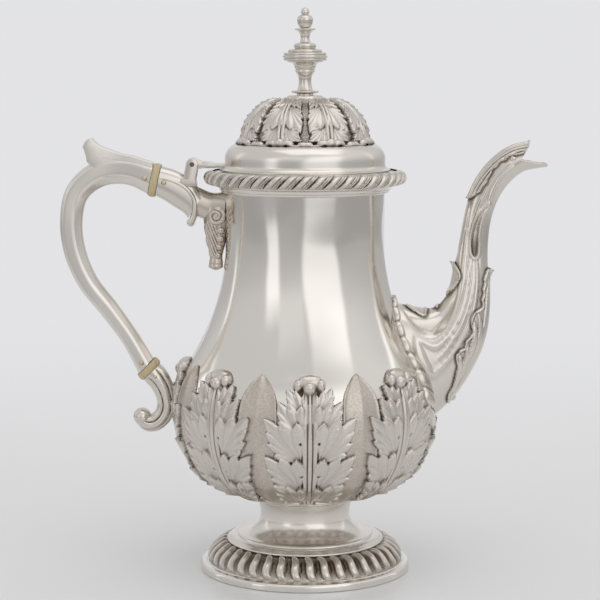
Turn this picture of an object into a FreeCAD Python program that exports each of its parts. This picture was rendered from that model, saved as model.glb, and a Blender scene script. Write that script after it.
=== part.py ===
import FreeCAD
import Part
import os
import Sketcher
from FreeCAD import Placement, Rotation, Vector

# A baluster coffee pot in silver: spreading gadrooned foot, leafed belly, plain
# neck, hinged domed lid with a turned finial, scroll handle set off by two pale
# insulators and a swan-neck spout. Millimetres, +Z up, origin at the centre of
# the foot's flat underside, +X to the spout, -X to the handle.

DRIVING_SIZES = [
    ("sheet_wall", 1.2, "thickness of the raised sheet of the vessel and the foot"),
    ("cast_wall", 1.3, "thickness of the hollow cast spout and handle"),
    ("lid_wall", 1.0, "thickness of the raised sheet of the lid"),
    ("working_gap", 0.3, "room left between pieces that move past each other"),
    ("foot_radius", 55.0, "plain rim that the pot stands on"),
    ("plinth_height", 4.6, "height of that rim"),
    ("plinth_width", 8.5, "width of the rim's flat underside"),
    ("foot_band_radius", 51.0, "outer edge of the foot's gadroon band"),
    ("foot_band_inner", 40.4, "inner edge of the foot's gadroon band"),
    ("foot_band_rise", 10.2, "height of the foot's gadroon band"),
    ("foot_band_bulge", 2.0, "how far the band swells from its chord"),
    ("foot_band_depth", 2.6, "thickness of the band casting"),
    ("foot_lobes", 40, "lobes round the foot"),
    ("foot_flute_radius", 1.3, "radius of the channels between those lobes"),
    ("dome_step_radius", 35.2, "edge of the step on the foot's dome"),
    ("dome_rise", 3.4, "height of the step above the gadroon band"),
    ("spool_waist", 23.3, "smallest radius of the foot's stem"),
    ("spool_top", 25.4, "radius at the top of the stem"),
    ("foot_height", 37.0, "top of the stem above the table"),
    ("collar_radius", 26.0, "ring between the stem and the vessel"),
    ("collar_height", 3.8, "height of that ring"),
    ("bowl_turn_radius", 57.3, "where the belly turns under"),
    ("bowl_turn_height", 13.2, "height of that turn above the vessel's base"),
    ("belly_radius", 67.6, "widest part of the vessel"),
    ("belly_height", 44.2, "height of the widest part above the vessel's base"),
    ("belly_share", 0.27, "share of the rise to the neck that curves outwards"),
    ("neck_radius", 41.0, "straight neck"),
    ("neck_start", 134.2, "where the neck becomes straight, above the vessel's base"),
    ("vessel_height", 167.2, "height of the vessel from its base to its mouth"),
    ("strainer_hole", 1.6, "radius of the pierced holes behind the spout"),
    ("strainer_pitch", 6.4, "spacing of those holes"),
    ("strainer_height", 72.0, "middle of the holes above the vessel's base"),
    ("moulding_drop", 10.7, "height of the moulding below the mouth"),
    ("moulding_reach", 6.4, "how far the moulding stands out from the neck"),
    ("rim_border_height", 6.8, "height of the gadroon border round the mouth"),
    ("rim_border_bulge", 3.9, "swell of that border"),
    ("rim_border_lip", 1.4, "thickness of the border above and below the swell"),
    ("rim_lobes", 50, "lobes round the mouth"),
    ("rim_flute_radius", 1.0, "radius of the channels between those lobes"),
    ("rim_flute_lean", 28.0, "lean of those channels in degrees"),
    ("leaf_count", 8, "leaves of each kind round the belly"),
    ("leaf_turn", 2.0, "turn of the leaves from the pot's own axes in degrees"),
    ("acanthus_depth", 1.8, "relief of the acanthus leaves"),
    ("acanthus_width", 22.0, "half width of an acanthus leaf"),
    ("acanthus_height", 70.5, "height of an acanthus leaf above the vessel's base"),
    ("plain_leaf_depth", 0.9, "relief of the plain leaves"),
    ("plain_leaf_width", 10.3, "half width of a plain leaf"),
    ("plain_leaf_height", 71.0, "height of a plain leaf above the vessel's base"),
    ("lid_lip_radius", 44.0, "lower edge of the lid"),
    ("lid_shoulder_radius", 41.4, "upright shoulder of the lid"),
    ("lid_shoulder_height", 14.0, "height of the shoulder above the lid's edge"),
    ("lid_ledge_radius", 35.8, "ledge where the leafwork starts"),
    ("dome_radius", 31.0, "foot of the lid's dome under the leafwork"),
    ("dome_height", 36.0, "top of the dome above the lid's edge"),
    ("dome_top_radius", 12.0, "flat top of the dome that carries the finial"),
    ("dome_bulge", 5.4, "swell of the dome"),
    ("lid_leaf_depth", 1.5, "relief of the leaves on the lid"),
    ("lid_leaf_width", 8.6, "half width of a leaf on the lid"),
    ("bezel_depth", 7.0, "how far the lid's inner ring drops into the neck"),
    ("bezel_wall", 1.1, "thickness of that ring"),
    ("bezel_room", 0.8, "room between that ring and the neck"),
    ("finial_plate_radius", 9.8, "disc under the finial"),
    ("finial_plate_height", 1.7, "thickness of that disc"),
    ("finial_stem_height", 18.6, "lower stem of the finial"),
    ("finial_stem_radius", 3.2, "narrowest part of that stem"),
    ("finial_knop_radius", 11.5, "reeded knop"),
    ("finial_knop_height", 4.2, "height of the knop"),
    ("finial_spindle_height", 12.2, "upper stem with its saucer"),
    ("finial_ball_radius", 3.9, "ball at the top"),
    ("finial_bead_radius", 2.1, "bead on the ball"),
    ("stud_radius", 1.5, "screwed rod inside the finial"),
    ("nut_width", 4.2, "half the width of the nut across its corners"),
    ("nut_height", 3.2, "height of the nut inside the lid"),
    ("hinge_reach", 17.0, "hinge pin beyond the neck"),
    ("hinge_rise", 3.8, "hinge pin above the mouth"),
    ("hinge_pin_radius", 1.2, "hinge pin"),
    ("hinge_pin_fit", 0.06, "room round the pin in the moving knuckle"),
    ("knuckle_radius", 3.2, "outside of the hinge knuckles"),
    ("knuckle_width", 5.0, "width of the moving knuckle"),
    ("lug_width", 3.2, "width of each fixed knuckle"),
    ("arm_width", 6.0, "width of the strap from the hinge to the lid"),
    ("upper_end_reach", 38.6, "handle's upper end beyond the neck"),
    ("upper_end_drop", 4.0, "handle's upper end below the mouth"),
    ("lower_end_reach", 42.0, "handle's lower end beyond the neck"),
    ("lower_end_drop", 101.4, "handle's lower end below the mouth"),
    ("handle_reach", 40.5, "sweep of the handle away from its two ends"),
    ("handle_depth", 11.6, "handle measured across its curve, halfway down"),
    ("handle_width", 10.5, "handle measured side to side, halfway down"),
    ("insulator_thickness", 4.2, "each pale ring"),
    ("insulator_margin", 0.9, "how far each ring stands out from the handle"),
    ("tenon_length", 5.0, "tongue of the insulator inside handle and socket"),
    ("tenon_share", 0.55, "size of that tongue against the handle's section"),
    ("tenon_room", 0.15, "room round the tongue in the sockets"),
    ("cross_pin_radius", 1.3, "pins that hold the tongues"),
    ("pin_dome", 0.8, "domed end of each pin"),
    ("socket_plate_depth", 1.4, "plate between the upper socket and the neck"),
    ("socket_plate_width", 7.5, "half width of that plate"),
    ("drop_length", 24.0, "tapered drop below the upper socket's volute"),
    ("drop_width", 5.2, "half width of the drop at its top"),
    ("volute_radius", 4.2, "volute at the head of the drop"),
    ("thumb_width", 4.2, "half width of the thumb rest"),
    ("thumb_rise", 21.4, "tip of the thumb rest above the handle's upper end"),
    ("scroll_wire", 1.1, "radius of the raised wire round the upper socket"),
    ("curl_radius", 4.5, "ball in the curl of the lower socket"),
    ("spout_reach", 83.5, "lip of the spout beyond the neck"),
    ("spout_rise", 171.6, "lip of the spout above the vessel's base"),
    ("spout_leaf_depth", 1.6, "relief of the leaves on the spout"),
    ("flange_depth", 1.8, "relief of the border round the spout's root"),
]

doc = FreeCAD.newDocument("coffee_pot")
sheet = doc.addObject("Spreadsheet::Sheet", "sizes")
for row, (alias, value, note) in enumerate(DRIVING_SIZES, start=1):
    sheet.set("A%d" % row, note)
    sheet.set("B%d" % row, str(value))
    sheet.setAlias("B%d" % row, alias)
doc.recompute()


class Size:
    """A length that carries its value and the formula that gives it in the sheet."""

    def __init__(self, value, formula):
        self.value = value
        self.formula = formula

    def joined(self, other, sign, value):
        return Size(value, "(%s %s %s)" % (self.formula, sign, other.formula))

    def __add__(self, other):
        other = as_size(other)
        return self.joined(other, "+", self.value + other.value)

    def __sub__(self, other):
        other = as_size(other)
        return self.joined(other, "-", self.value - other.value)

    def __mul__(self, other):
        other = as_size(other)
        return self.joined(other, "*", self.value * other.value)

    def __truediv__(self, other):
        other = as_size(other)
        return self.joined(other, "/", self.value / other.value)

    def __radd__(self, other):
        return as_size(other) + self

    def __rsub__(self, other):
        return as_size(other) - self

    def __rmul__(self, other):
        return as_size(other) * self

    def __rtruediv__(self, other):
        return as_size(other) / self

    def __neg__(self):
        return as_size(0) - self


def as_size(number):
    if isinstance(number, Size):
        return number
    return Size(float(number), "%.6g" % number if number >= 0 else "(%.6g)" % number)


def root(number):
    number = as_size(number)
    return Size(number.value ** 0.5, "sqrt(%s)" % number.formula)


def read(alias):
    return Size(float(sheet.get(alias)), "sizes.%s" % alias)


def bind(item, path, length):
    """Let the sheet drive one property of an object."""
    item.setExpression(path, as_size(length).formula)


def place(item, x=0, y=0, z=0, axis=Vector(0, 0, 1), angle=0):
    """Put a piece where it belongs, with its place driven by the sheet."""
    x, y, z, angle = as_size(x), as_size(y), as_size(z), as_size(angle)
    item.Placement = Placement(Vector(x.value, y.value, z.value), Rotation(axis, angle.value))
    bind(item, "Placement.Base.x", x)
    bind(item, "Placement.Base.y", y)
    bind(item, "Placement.Base.z", z)
    bind(item, "Placement.Rotation.Angle", angle)


def upright_bow(start, end):
    """Bow of an arc that leaves its start straight up or down."""
    across, along = end[0] - start[0], end[1] - start[1]
    chord = root(across * across + along * along)
    side = 1 if along.value > 0 else -1
    return chord * (chord * side - along) / (across * -2)


def level_bow(start, end):
    """Bow of an arc that leaves its start level."""
    across, along = end[0] - start[0], end[1] - start[1]
    chord = root(across * across + along * along)
    side = 1 if across.value > 0 else -1
    return chord * (chord * side - across) / (along * 2)


def new_sketch(body, name, plane, offset=None):
    sketch = body.newObject("Sketcher::SketchObject", name)
    support = [item for item in body.Origin.OriginFeatures if item.Role == plane]
    sketch.AttachmentSupport = [(support[0], "")]
    sketch.MapMode = "FlatFace"
    if offset is not None:
        x, y, z, turn = [as_size(item) for item in offset]
        sketch.AttachmentOffset = Placement(
            Vector(x.value, y.value, z.value), Rotation(Vector(0, 1, 0), turn.value)
        )
        bind(sketch, ".AttachmentOffset.Base.x", x)
        bind(sketch, ".AttachmentOffset.Base.y", y)
        bind(sketch, ".AttachmentOffset.Base.z", z)
        bind(sketch, ".AttachmentOffset.Rotation.Angle", turn)
    return sketch


def fix_point(sketch, geometry, spot, x, y):
    across = sketch.addConstraint(
        Sketcher.Constraint("DistanceX", -1, 1, geometry, spot, x.value)
    )
    bind(sketch, "Constraints[%d]" % across, x)
    up = sketch.addConstraint(
        Sketcher.Constraint("DistanceY", -1, 1, geometry, spot, y.value)
    )
    bind(sketch, "Constraints[%d]" % up, y)


def draw(sketch, corners):
    """Close an outline through corners; a third entry bows the edge that arrives
    there, to the right of the way the outline runs."""
    corners = [[as_size(entry) for entry in corner] for corner in corners]
    ends = []
    bows = []
    for index, corner in enumerate(corners):
        before = corners[index - 1]
        start = Vector(before[0].value, before[1].value, 0)
        end = Vector(corner[0].value, corner[1].value, 0)
        if len(corner) == 2:
            edge = sketch.addGeometry(Part.LineSegment(start, end), False)
            ends.append((edge, 1, 2))
            continue
        across, along = corner[0] - before[0], corner[1] - before[1]
        chord = root(across * across + along * along)
        crown_x = (corner[0] + before[0]) / 2 + along / chord * corner[2]
        crown_y = (corner[1] + before[1]) / 2 - across / chord * corner[2]
        crown = Vector(crown_x.value, crown_y.value, 0)
        if corner[2].value > 0:
            edge = sketch.addGeometry(Part.Arc(start, crown, end), False)
            ends.append((edge, 1, 2))
        else:
            edge = sketch.addGeometry(Part.Arc(end, crown, start), False)
            ends.append((edge, 2, 1))
        bows.append((edge, crown, crown_x, crown_y))
    for index, (edge, first, last) in enumerate(ends):
        following, following_first, _ = ends[(index + 1) % len(ends)]
        sketch.addConstraint(
            Sketcher.Constraint("Coincident", edge, last, following, following_first)
        )
        fix_point(sketch, edge, last, corners[index][0], corners[index][1])
    for edge, crown, crown_x, crown_y in bows:
        point = sketch.addGeometry(Part.Point(crown), True)
        sketch.addConstraint(Sketcher.Constraint("PointOnObject", point, 1, edge))
        fix_point(sketch, point, 1, crown_x, crown_y)
    return sketch


def new_body(name):
    body = doc.addObject("PartDesign::Body", name)
    body.Label = name
    return body


def turned(name, corners, lift=0):
    """A piece turned about the pot's axis from its half outline."""
    body = new_body(name)
    sketch = draw(new_sketch(body, name + "_outline", "XZ_Plane"), corners)
    turn = body.newObject("PartDesign::Revolution", name + "_turn")
    turn.Profile = sketch
    turn.ReferenceAxis = (sketch, ["V_Axis"])
    turn.Angle = 360
    body.Tip = turn
    place(body, z=lift)
    return body


def padded(name, plane, corners, length, midplane=True, start=0):
    """A piece cut from plate: an outline given a thickness."""
    body = new_body(name)
    sketch = draw(new_sketch(body, name + "_outline", plane, (0, 0, start, 0)), corners)
    pad = body.newObject("PartDesign::Pad", name + "_pad")
    pad.Profile = sketch
    pad.SideType = "Symmetric" if midplane else "One side"
    bind(pad, "Length", length)
    body.Tip = pad
    return body


def lofted(name, stations, section):
    """A curved limb through sections set square to its run. A station is x, z, the
    heading in degrees from upright towards +X, the depth and the width."""
    body = new_body(name)
    sketches = []
    for index, (x, z, heading, depth, width) in enumerate(stations):
        sketch = new_sketch(body, "%s_section_%d" % (name, index), "XY_Plane", (x, 0, z, heading))
        sketches.append(draw(sketch, section(as_size(depth), as_size(width))))
    loft = body.newObject("PartDesign::AdditiveLoft", name + "_loft")
    loft.Profile = sketches[0]
    loft.Sections = sketches[1:]
    loft.Ruled = False
    body.Tip = loft
    return body


def boolean(kind, name, first, second):
    """Cut or Common of two pieces, as a new piece."""
    piece = doc.addObject("Part::" + kind, name)
    piece.Base = first
    piece.Tool = second
    piece.Label = name
    return piece


def joined(name, items):
    piece = doc.addObject("Part::MultiFuse", name)
    piece.Shapes = items
    piece.Label = name
    return piece


def grouped(name, items):
    piece = doc.addObject("Part::Compound", name)
    piece.Links = items
    piece.Label = name
    return piece


def round_pattern(body, feature, count):
    """Repeat the body's last feature round the pot's axis."""
    pattern = body.newObject("PartDesign::PolarPattern", body.Name + "_round")
    pattern.Originals = [feature]
    axis = [item for item in body.Origin.OriginFeatures if item.Role == "Z_Axis"]
    pattern.Axis = (axis[0], [""])
    pattern.Angle = 360
    bind(pattern, "Occurrences", count)
    body.Tip = pattern
    return pattern


sheet_wall = read("sheet_wall")
cast_wall = read("cast_wall")
lid_wall = read("lid_wall")
working_gap = read("working_gap")

# The foot, from the table up: plain rim, gadroon band, stepped dome and stem,
# collar. Each stands on the flat top of the one below it.
foot_radius = read("foot_radius")
plinth_height = read("plinth_height")
band_outer = read("foot_band_radius")
band_inner = read("foot_band_inner")
band_top = plinth_height + read("foot_band_rise")
band_depth = read("foot_band_depth")
foot_height = read("foot_height")
collar_radius = read("collar_radius")
vessel_base = foot_height + read("collar_height")

foot_plinth = turned("foot_plinth", [
    (foot_radius - read("plinth_width"), 0),
    (foot_radius, 0),
    (foot_radius, plinth_height * 0.5),
    (foot_radius - 1.6, plinth_height * 0.86, 0.45),
    (band_outer + 0.5, plinth_height * 0.86),
    (band_outer + 0.5, plinth_height),
    (foot_radius - read("plinth_width"), plinth_height),
])

band_bulge = read("foot_band_bulge")
foot_gadroon = turned("foot_gadroon", [
    (band_outer - band_depth * 1.5, plinth_height, band_bulge * -0.8),
    (band_outer, plinth_height),
    (band_inner, band_top, band_bulge),
    (band_inner - band_depth * 0.6, band_top),
])

dome_step = read("dome_step_radius")
dome_top = band_top + read("dome_rise")
waist = read("spool_waist")
waist_height = dome_top + (foot_height - dome_top) * 0.48
spool_top = read("spool_top")
skirt = band_inner + 0.4


def spool_side(thickness):
    """Outline of the stem from its skirt up, set in by a thickness."""
    step = (dome_step - 2.0 - thickness, dome_top + 0.4 - thickness)
    narrow = (waist - thickness, waist_height)
    head = (spool_top - thickness, foot_height)
    return [
        (dome_step - thickness, band_top + (dome_top - band_top) * 0.78 - thickness),
        (dome_step - thickness, dome_top - thickness),
        step,
        (narrow[0], narrow[1], -upright_bow(narrow, step)),
        (head[0], head[1], upright_bow(narrow, head)),
    ]


outer_side = spool_side(as_size(0))
inner_side = spool_side(sheet_wall)
foot_spool = turned("foot_spool", [
    (skirt - sheet_wall * 1.5, band_top),
    (skirt, band_top),
    (skirt, band_top + 0.9),
    outer_side[0] + (0.7,),
    outer_side[1],
    outer_side[2],
    outer_side[3],
    outer_side[4],
    inner_side[4][:2],
    inner_side[3][:2] + (-inner_side[4][2],),
    inner_side[2] + (-inner_side[3][2],),
    inner_side[1],
    inner_side[0],
])

foot_collar = turned("foot_collar", [
    (collar_radius * 0.7, foot_height),
    (collar_radius - 0.8, foot_height),
    (collar_radius - 0.4, vessel_base, 0.8),
    (collar_radius * 0.7, vessel_base),
])

# The vessel: a flat base, a belly that turns under, an S-shaped rise in two arcs
# with upright ends, and a straight neck. Its wall is the same curve set in.
belly = read("belly_radius")
belly_height = vessel_base + read("belly_height")
belly_share = read("belly_share")
turn_radius = read("bowl_turn_radius")
turn_height = vessel_base + read("bowl_turn_height")
neck = read("neck_radius")
neck_start = vessel_base + read("neck_start")
mouth = vessel_base + read("vessel_height")


def vessel_side(growth):
    """Outline of the vessel from its base to its mouth, set out by a growth."""
    spread, rise = belly - neck, neck_start - belly_height
    both_radii = (spread * spread + rise * rise) / (spread * 2)
    share = belly_share + growth / both_radii
    widest = (belly + growth, belly_height)
    sway = (belly + growth - spread * share, belly_height + rise * share)
    straight = (neck + growth, neck_start)
    drop, draw_in = belly_height - turn_height, belly - turn_radius
    turn_arc = (drop * drop + draw_in * draw_in) / (draw_in * 2)
    grown = growth / turn_arc
    turn = (
        turn_radius + (turn_radius - belly + turn_arc) * grown,
        turn_height - drop * grown,
    )
    base = (collar_radius, vessel_base - growth)
    return [
        base,
        (turn[0], turn[1], level_bow(base, turn)),
        (widest[0], widest[1], -upright_bow(widest, turn)),
        (sway[0], sway[1], upright_bow(widest, sway)),
        (straight[0], straight[1], -upright_bow(straight, sway)),
    ]


def reversed_side(side):
    """The same run of arcs drawn the other way round."""
    back = []
    for index in range(len(side) - 1, -1, -1):
        corner = side[index][:2]
        if index + 1 < len(side) and len(side[index + 1]) == 3:
            corner = corner + (-side[index + 1][2],)
        back.append(corner)
    return back


outside = vessel_side(as_size(0))
inside = vessel_side(-sheet_wall)
vessel_form = turned(
    "vessel_form",
    [(0, vessel_base)] + outside + [(neck, mouth), (0, mouth)],
)
body_shell = turned(
    "body_shell",
    [(0, vessel_base)]
    + outside
    + [(neck, mouth), (neck - sheet_wall, mouth)]
    + reversed_side(inside)
    + [(0, vessel_base + sheet_wall)],
)


def band_on_vessel(name, depth):
    """A skin of even depth on the outside of the vessel."""
    skin = vessel_side(depth)
    corners = outside + [skin[-1][:2]] + reversed_side(skin)[1:]
    return turned(name, corners)


# Pierced strainer behind the spout: staggered rows of holes through the wall.
hole = read("strainer_hole")
pitch = read("strainer_pitch")
strainer = new_sketch(body_shell, "strainer_holes", "YZ_Plane", (0, 0, neck * 0.5, 0))
for row in range(-2, 3):
    holes_in_row = 3 - row % 2
    for place_in_row in range(holes_in_row):
        across = pitch * (place_in_row - (holes_in_row - 1) / 2)
        height = vessel_base + read("strainer_height") + pitch * (row * 0.9)
        circle = Part.Circle(Vector(across.value, height.value, 0), Vector(0, 0, 1), hole.value)
        index = strainer.addGeometry(circle, False)
        size = strainer.addConstraint(Sketcher.Constraint("Radius", index, hole.value))
        bind(strainer, "Constraints[%d]" % size, hole)
        fix_point(strainer, index, 3, across, height)
pierce = body_shell.newObject("PartDesign::Pocket", "strainer_pierce")
pierce.Profile = strainer
pierce.Reversed = True
bind(pierce, "Length", belly)
body_shell.Tip = pierce

# Moulding and gadroon border round the mouth.
moulding_base = mouth - read("moulding_drop")
moulding_edge = neck + read("moulding_reach")
border_base = mouth - read("rim_border_height") + 0.4
neck_moulding = turned("neck_moulding", [
    (neck, moulding_base),
    (neck + 1.4, moulding_base),
    (neck + 2.6, moulding_base + 1.3, 0.5),
    (neck + 3.4, moulding_base + 1.6),
    (moulding_edge - 1.0, border_base - 0.9, -0.7),
    (moulding_edge, border_base - 0.5),
    (moulding_edge, mouth),
    (neck, mouth),
])
border_lip = read("rim_border_lip")
rim_gadroon = turned("rim_gadroon", [
    (moulding_edge, border_base),
    (moulding_edge + border_lip, border_base),
    (moulding_edge + border_lip * 0.6, mouth + 0.4, read("rim_border_bulge")),
    (moulding_edge, mouth + 0.4),
])


def fluted(body, count, radius, middle, length, tilt):
    """Cut channels between the lobes of a border: one cylinder, repeated round."""
    reach, height = middle
    along = tilt.multVec(Vector(0, 0, 1))
    flute = body.newObject("PartDesign::SubtractiveCylinder", body.Name + "_flute")
    bind(flute, "Radius", radius)
    bind(flute, "Height", length)
    half = length / 2
    flute.Placement = Placement(Vector(reach.value, 0, height.value), tilt)
    bind(flute, "Placement.Base.x", reach - half * along.x)
    bind(flute, "Placement.Base.y", half * -along.y)
    bind(flute, "Placement.Base.z", height - half * along.z)
    round_pattern(body, flute, count)


rim_flute = read("rim_flute_radius")
rim_swell = moulding_edge + border_lip * 0.8 + read("rim_border_bulge")
fluted(
    rim_gadroon,
    read("rim_lobes"),
    rim_flute,
    (rim_swell + rim_flute * 0.25, border_base + read("rim_border_height") / 2),
    read("rim_border_height") * 3,
    Rotation(Vector(1, 0, 0), read("rim_flute_lean").value),
)
foot_flute = read("foot_flute_radius")
band_run = Vector((band_inner - band_outer).value, 0, (band_top - plinth_height).value)
fluted(
    foot_gadroon,
    read("foot_lobes"),
    foot_flute,
    (
        (band_outer + band_inner) / 2 + (band_bulge + foot_flute * 0.3) * 0.69,
        (plinth_height + band_top) / 2 + (band_bulge + foot_flute * 0.3) * 0.72,
    ),
    read("foot_band_rise") * 3,
    Rotation(Vector(0, 0, 1), band_run),
)

# The lid: lip, upright shoulder, ledge and dome, open below, bored for the stud.
lid_seat = mouth + working_gap
lip = read("lid_lip_radius")
shoulder = read("lid_shoulder_radius")
shoulder_top = read("lid_shoulder_height")
ledge = read("lid_ledge_radius")
dome = read("dome_radius")
dome_height = read("dome_height")
dome_flat = read("dome_top_radius")
dome_bulge = read("dome_bulge")
stud = read("stud_radius")
lid_outside = [
    (lip, 0),
    (lip, 1.0),
    (shoulder, 3.4, -0.7),
    (shoulder, shoulder_top * 0.45),
    (ledge, shoulder_top, 1.5),
    (ledge - 0.3, shoulder_top + 0.6),
    (dome, shoulder_top + 1.4, -0.5),
    (dome_flat, dome_height, dome_bulge),
]
lid_form = turned("lid_form", [(0, 0)] + lid_outside + [(0, dome_height)], lid_seat)
lid_shell = turned("lid_shell", lid_outside + [
    (stud + 0.1, dome_height),
    (stud + 0.1, dome_height - lid_wall),
    (dome_flat - 0.4, dome_height - lid_wall),
    (dome - lid_wall, shoulder_top + 1.0, -dome_bulge),
    (ledge - lid_wall, shoulder_top - lid_wall),
    (shoulder - lid_wall, shoulder_top * 0.45 - 0.4, -1.4),
    (shoulder - lid_wall, 0),
], lid_seat)

neck_bore = neck - sheet_wall
bezel = neck_bore - read("bezel_room")
bezel_wall = read("bezel_wall")
lid_bezel = turned("lid_bezel", [
    (bezel - bezel_wall, -read("bezel_depth")),
    (bezel, -read("bezel_depth")),
    (bezel, 0),
    (shoulder - lid_wall, 0),
    (shoulder - lid_wall, shoulder_top * 0.3),
    (shoulder - lid_wall - bezel_wall, shoulder_top * 0.3),
    (bezel - bezel_wall, 0.8),
], lid_seat)

# The finial: pieces stacked on the dome round one screwed stud.
finial_base = lid_seat + dome_height
plate = read("finial_plate_radius")
plate_height = read("finial_plate_height")
stem_height = read("finial_stem_height")
stem = read("finial_stem_radius")
knop = read("finial_knop_radius")
knop_height = read("finial_knop_height")
spindle_height = read("finial_spindle_height")
ball = read("finial_ball_radius")
bead = read("finial_bead_radius")
bore = stud + 0.1

finial_plate = turned("finial_plate", [
    (bore, 0),
    (plate, 0),
    (plate, plate_height, 0.35),
    (bore, plate_height),
], finial_base)
finial_stem = turned("finial_stem", [
    (bore, 0),
    (stem + 1.6, 0),
    (stem + 1.2, stem_height * 0.1, -0.3),
    (stem + 3.5, stem_height * 0.13),
    (stem + 3.5, stem_height * 0.18, 0.35),
    (stem + 0.9, stem_height * 0.2),
    (stem, stem_height * 0.48, -0.3),
    (stem + 1.5, stem_height * 0.68, -0.35),
    (stem + 1.7, stem_height * 0.73, 0.2),
    (stem + 2.2, stem_height * 0.81, -0.2),
    (knop - 2.6, stem_height * 0.96, -1.0),
    (knop - 2.2, stem_height),
    (bore, stem_height),
], finial_base + plate_height)
finial_knop = turned("finial_knop", [
    (bore, 0),
    (knop - 1.0, 0),
    (knop - 0.8, knop_height * 0.3, 0.5),
    (knop - 0.8, knop_height * 0.7, 0.8),
    (knop - 1.2, knop_height, 0.5),
    (bore, knop_height),
], finial_base + plate_height + stem_height)
spindle_base = finial_base + plate_height + stem_height + knop_height
finial_spindle = turned("finial_spindle", [
    (0, spindle_height * 0.3),
    (bore, spindle_height * 0.3),
    (bore, 0),
    (knop * 0.74, 0),
    (knop * 0.72, spindle_height * 0.12, 0.3),
    (knop * 0.44, spindle_height * 0.17),
    (knop * 0.44, spindle_height * 0.38, 0.6),
    (knop * 0.25, spindle_height * 0.42),
    (knop * 0.2, spindle_height * 0.66, -0.25),
    (knop * 0.4, spindle_height * 0.92, -0.5),
    (knop * 0.45, spindle_height * 0.94),
    (knop * 0.45, spindle_height, 0.15),
    (0, spindle_height),
], spindle_base)
bead_neck = bead * 0.7
ball_middle = ball * 0.866
ball_top = ball_middle + root(ball * ball - bead_neck * bead_neck)
bead_middle = ball_top + root(bead * bead - bead_neck * bead_neck)
finial_ball = turned("finial_ball", [
    (0, 0),
    (ball * 0.5, 0),
    (ball, ball_middle, -upright_bow((ball, ball_middle), (ball * 0.5, as_size(0)))),
    (bead_neck, ball_top, upright_bow((ball, ball_middle), (bead_neck, ball_top))),
    (bead, bead_middle, -upright_bow((bead, bead_middle), (bead_neck, ball_top))),
    (0, bead_middle + bead, upright_bow((bead, bead_middle), (as_size(0), bead_middle + bead))),
], spindle_base + spindle_height)
nut_height = read("nut_height")
stud_low = lid_wall + nut_height + 1.2
finial_stud = turned("finial_stud", [
    (0, -stud_low),
    (stud, -stud_low),
    (stud, plate_height + stem_height + knop_height + spindle_height * 0.28),
    (0, plate_height + stem_height + knop_height + spindle_height * 0.28),
], finial_base)

finial_nut = new_body("finial_nut")
nut_outline = new_sketch(finial_nut, "nut_outline", "XY_Plane")
nut = read("nut_width")
half_flat = nut * 0.8660254
draw(nut_outline, [
    (nut, 0),
    (nut / 2, half_flat),
    (nut / -2, half_flat),
    (-nut, 0),
    (nut / -2, -half_flat),
    (nut / 2, -half_flat),
])
thread = Part.Circle(Vector(0, 0, 0), Vector(0, 0, 1), stud.value)
thread = nut_outline.addGeometry(thread, False)
thread_size = nut_outline.addConstraint(Sketcher.Constraint("Radius", thread, stud.value))
bind(nut_outline, "Constraints[%d]" % thread_size, stud)
nut_outline.addConstraint(Sketcher.Constraint("Coincident", thread, 3, -1, 1))
nut_pad = finial_nut.newObject("PartDesign::Pad", "nut_pad")
nut_pad.Profile = nut_outline
bind(nut_pad, "Length", nut_height)
finial_nut.Tip = nut_pad
place(finial_nut, z=finial_base - lid_wall - nut_height)


def leaf_prisms(name, corners, start, count, turn, depth):
    """Leaf outlines drawn upright, carried outwards and repeated round the axis."""
    body = new_body(name)
    body.AllowCompound = True
    sketch = draw(new_sketch(body, name + "_outline", "YZ_Plane", (0, 0, start, 0)), corners)
    pad = body.newObject("PartDesign::Pad", name + "_pad")
    pad.Profile = sketch
    bind(pad, "Length", depth)
    round_pattern(body, pad, count)
    place(body, angle=turn)
    return body


def mirrored(side):
    """Close one side of an outline with its mirror image across the upright."""
    back = []
    for index in range(len(side) - 1, -1, -1):
        corner = (-side[index][0], side[index][1])
        if index + 1 < len(side) and len(side[index + 1]) == 3:
            corner = corner + (side[index + 1][2],)
        back.append(corner)
    return side + back


# Leaves on the belly: each is a skin of even relief trimmed to the leaf's outline.
# The acanthus climbs in tiers of pointed lobes; the plain leaf is a lance.
leaf_count = read("leaf_count")
leaf_turn = read("leaf_turn")
acanthus_width = read("acanthus_width")
acanthus_height = read("acanthus_height")
lobes = [(0.224, 0.79), (0.435, 1.0), (0.704, 0.96), (0.804, 0.7), (0.92, 0.46)]
acanthus_side = [(acanthus_width * 0.26, vessel_base), (acanthus_width * 0.3, vessel_base + 1.6)]
for level, spread in lobes:
    tip = (acanthus_width * spread, vessel_base + acanthus_height * level, 1.2)
    notch = (acanthus_width * spread * 0.72, vessel_base + acanthus_height * (level + 0.02))
    acanthus_side += [tip, notch]
acanthus_side.append((acanthus_width * 0.22, vessel_base + acanthus_height, 1.6))
acanthus_prisms = leaf_prisms(
    "acanthus_prisms", mirrored(acanthus_side), collar_radius * 0.8, leaf_count, leaf_turn, belly
)
acanthus_skin = band_on_vessel("acanthus_skin", read("acanthus_depth"))
acanthus_all = boolean("Common", "acanthus_all", acanthus_skin, acanthus_prisms)

plain_width = read("plain_leaf_width")
plain_height = read("plain_leaf_height")
plain_side = [
    (plain_width * 0.4, vessel_base),
    (plain_width * 0.45, vessel_base + 1.2),
    (plain_width * 0.9, vessel_base + plain_height * 0.3, 1.0),
    (plain_width, vessel_base + plain_height * 0.78, 0.4),
    (plain_width * 0.08, vessel_base + plain_height, 1.6),
]
plain_prisms = leaf_prisms(
    "plain_prisms",
    mirrored(plain_side),
    collar_radius * 0.8,
    leaf_count,
    leaf_turn + 180 / leaf_count,
    belly,
)
plain_skin = band_on_vessel("plain_skin", read("plain_leaf_depth"))
plain_all = boolean("Common", "plain_all", plain_skin, plain_prisms)
plain_between = boolean("Cut", "plain_between", plain_all, acanthus_prisms)

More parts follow.
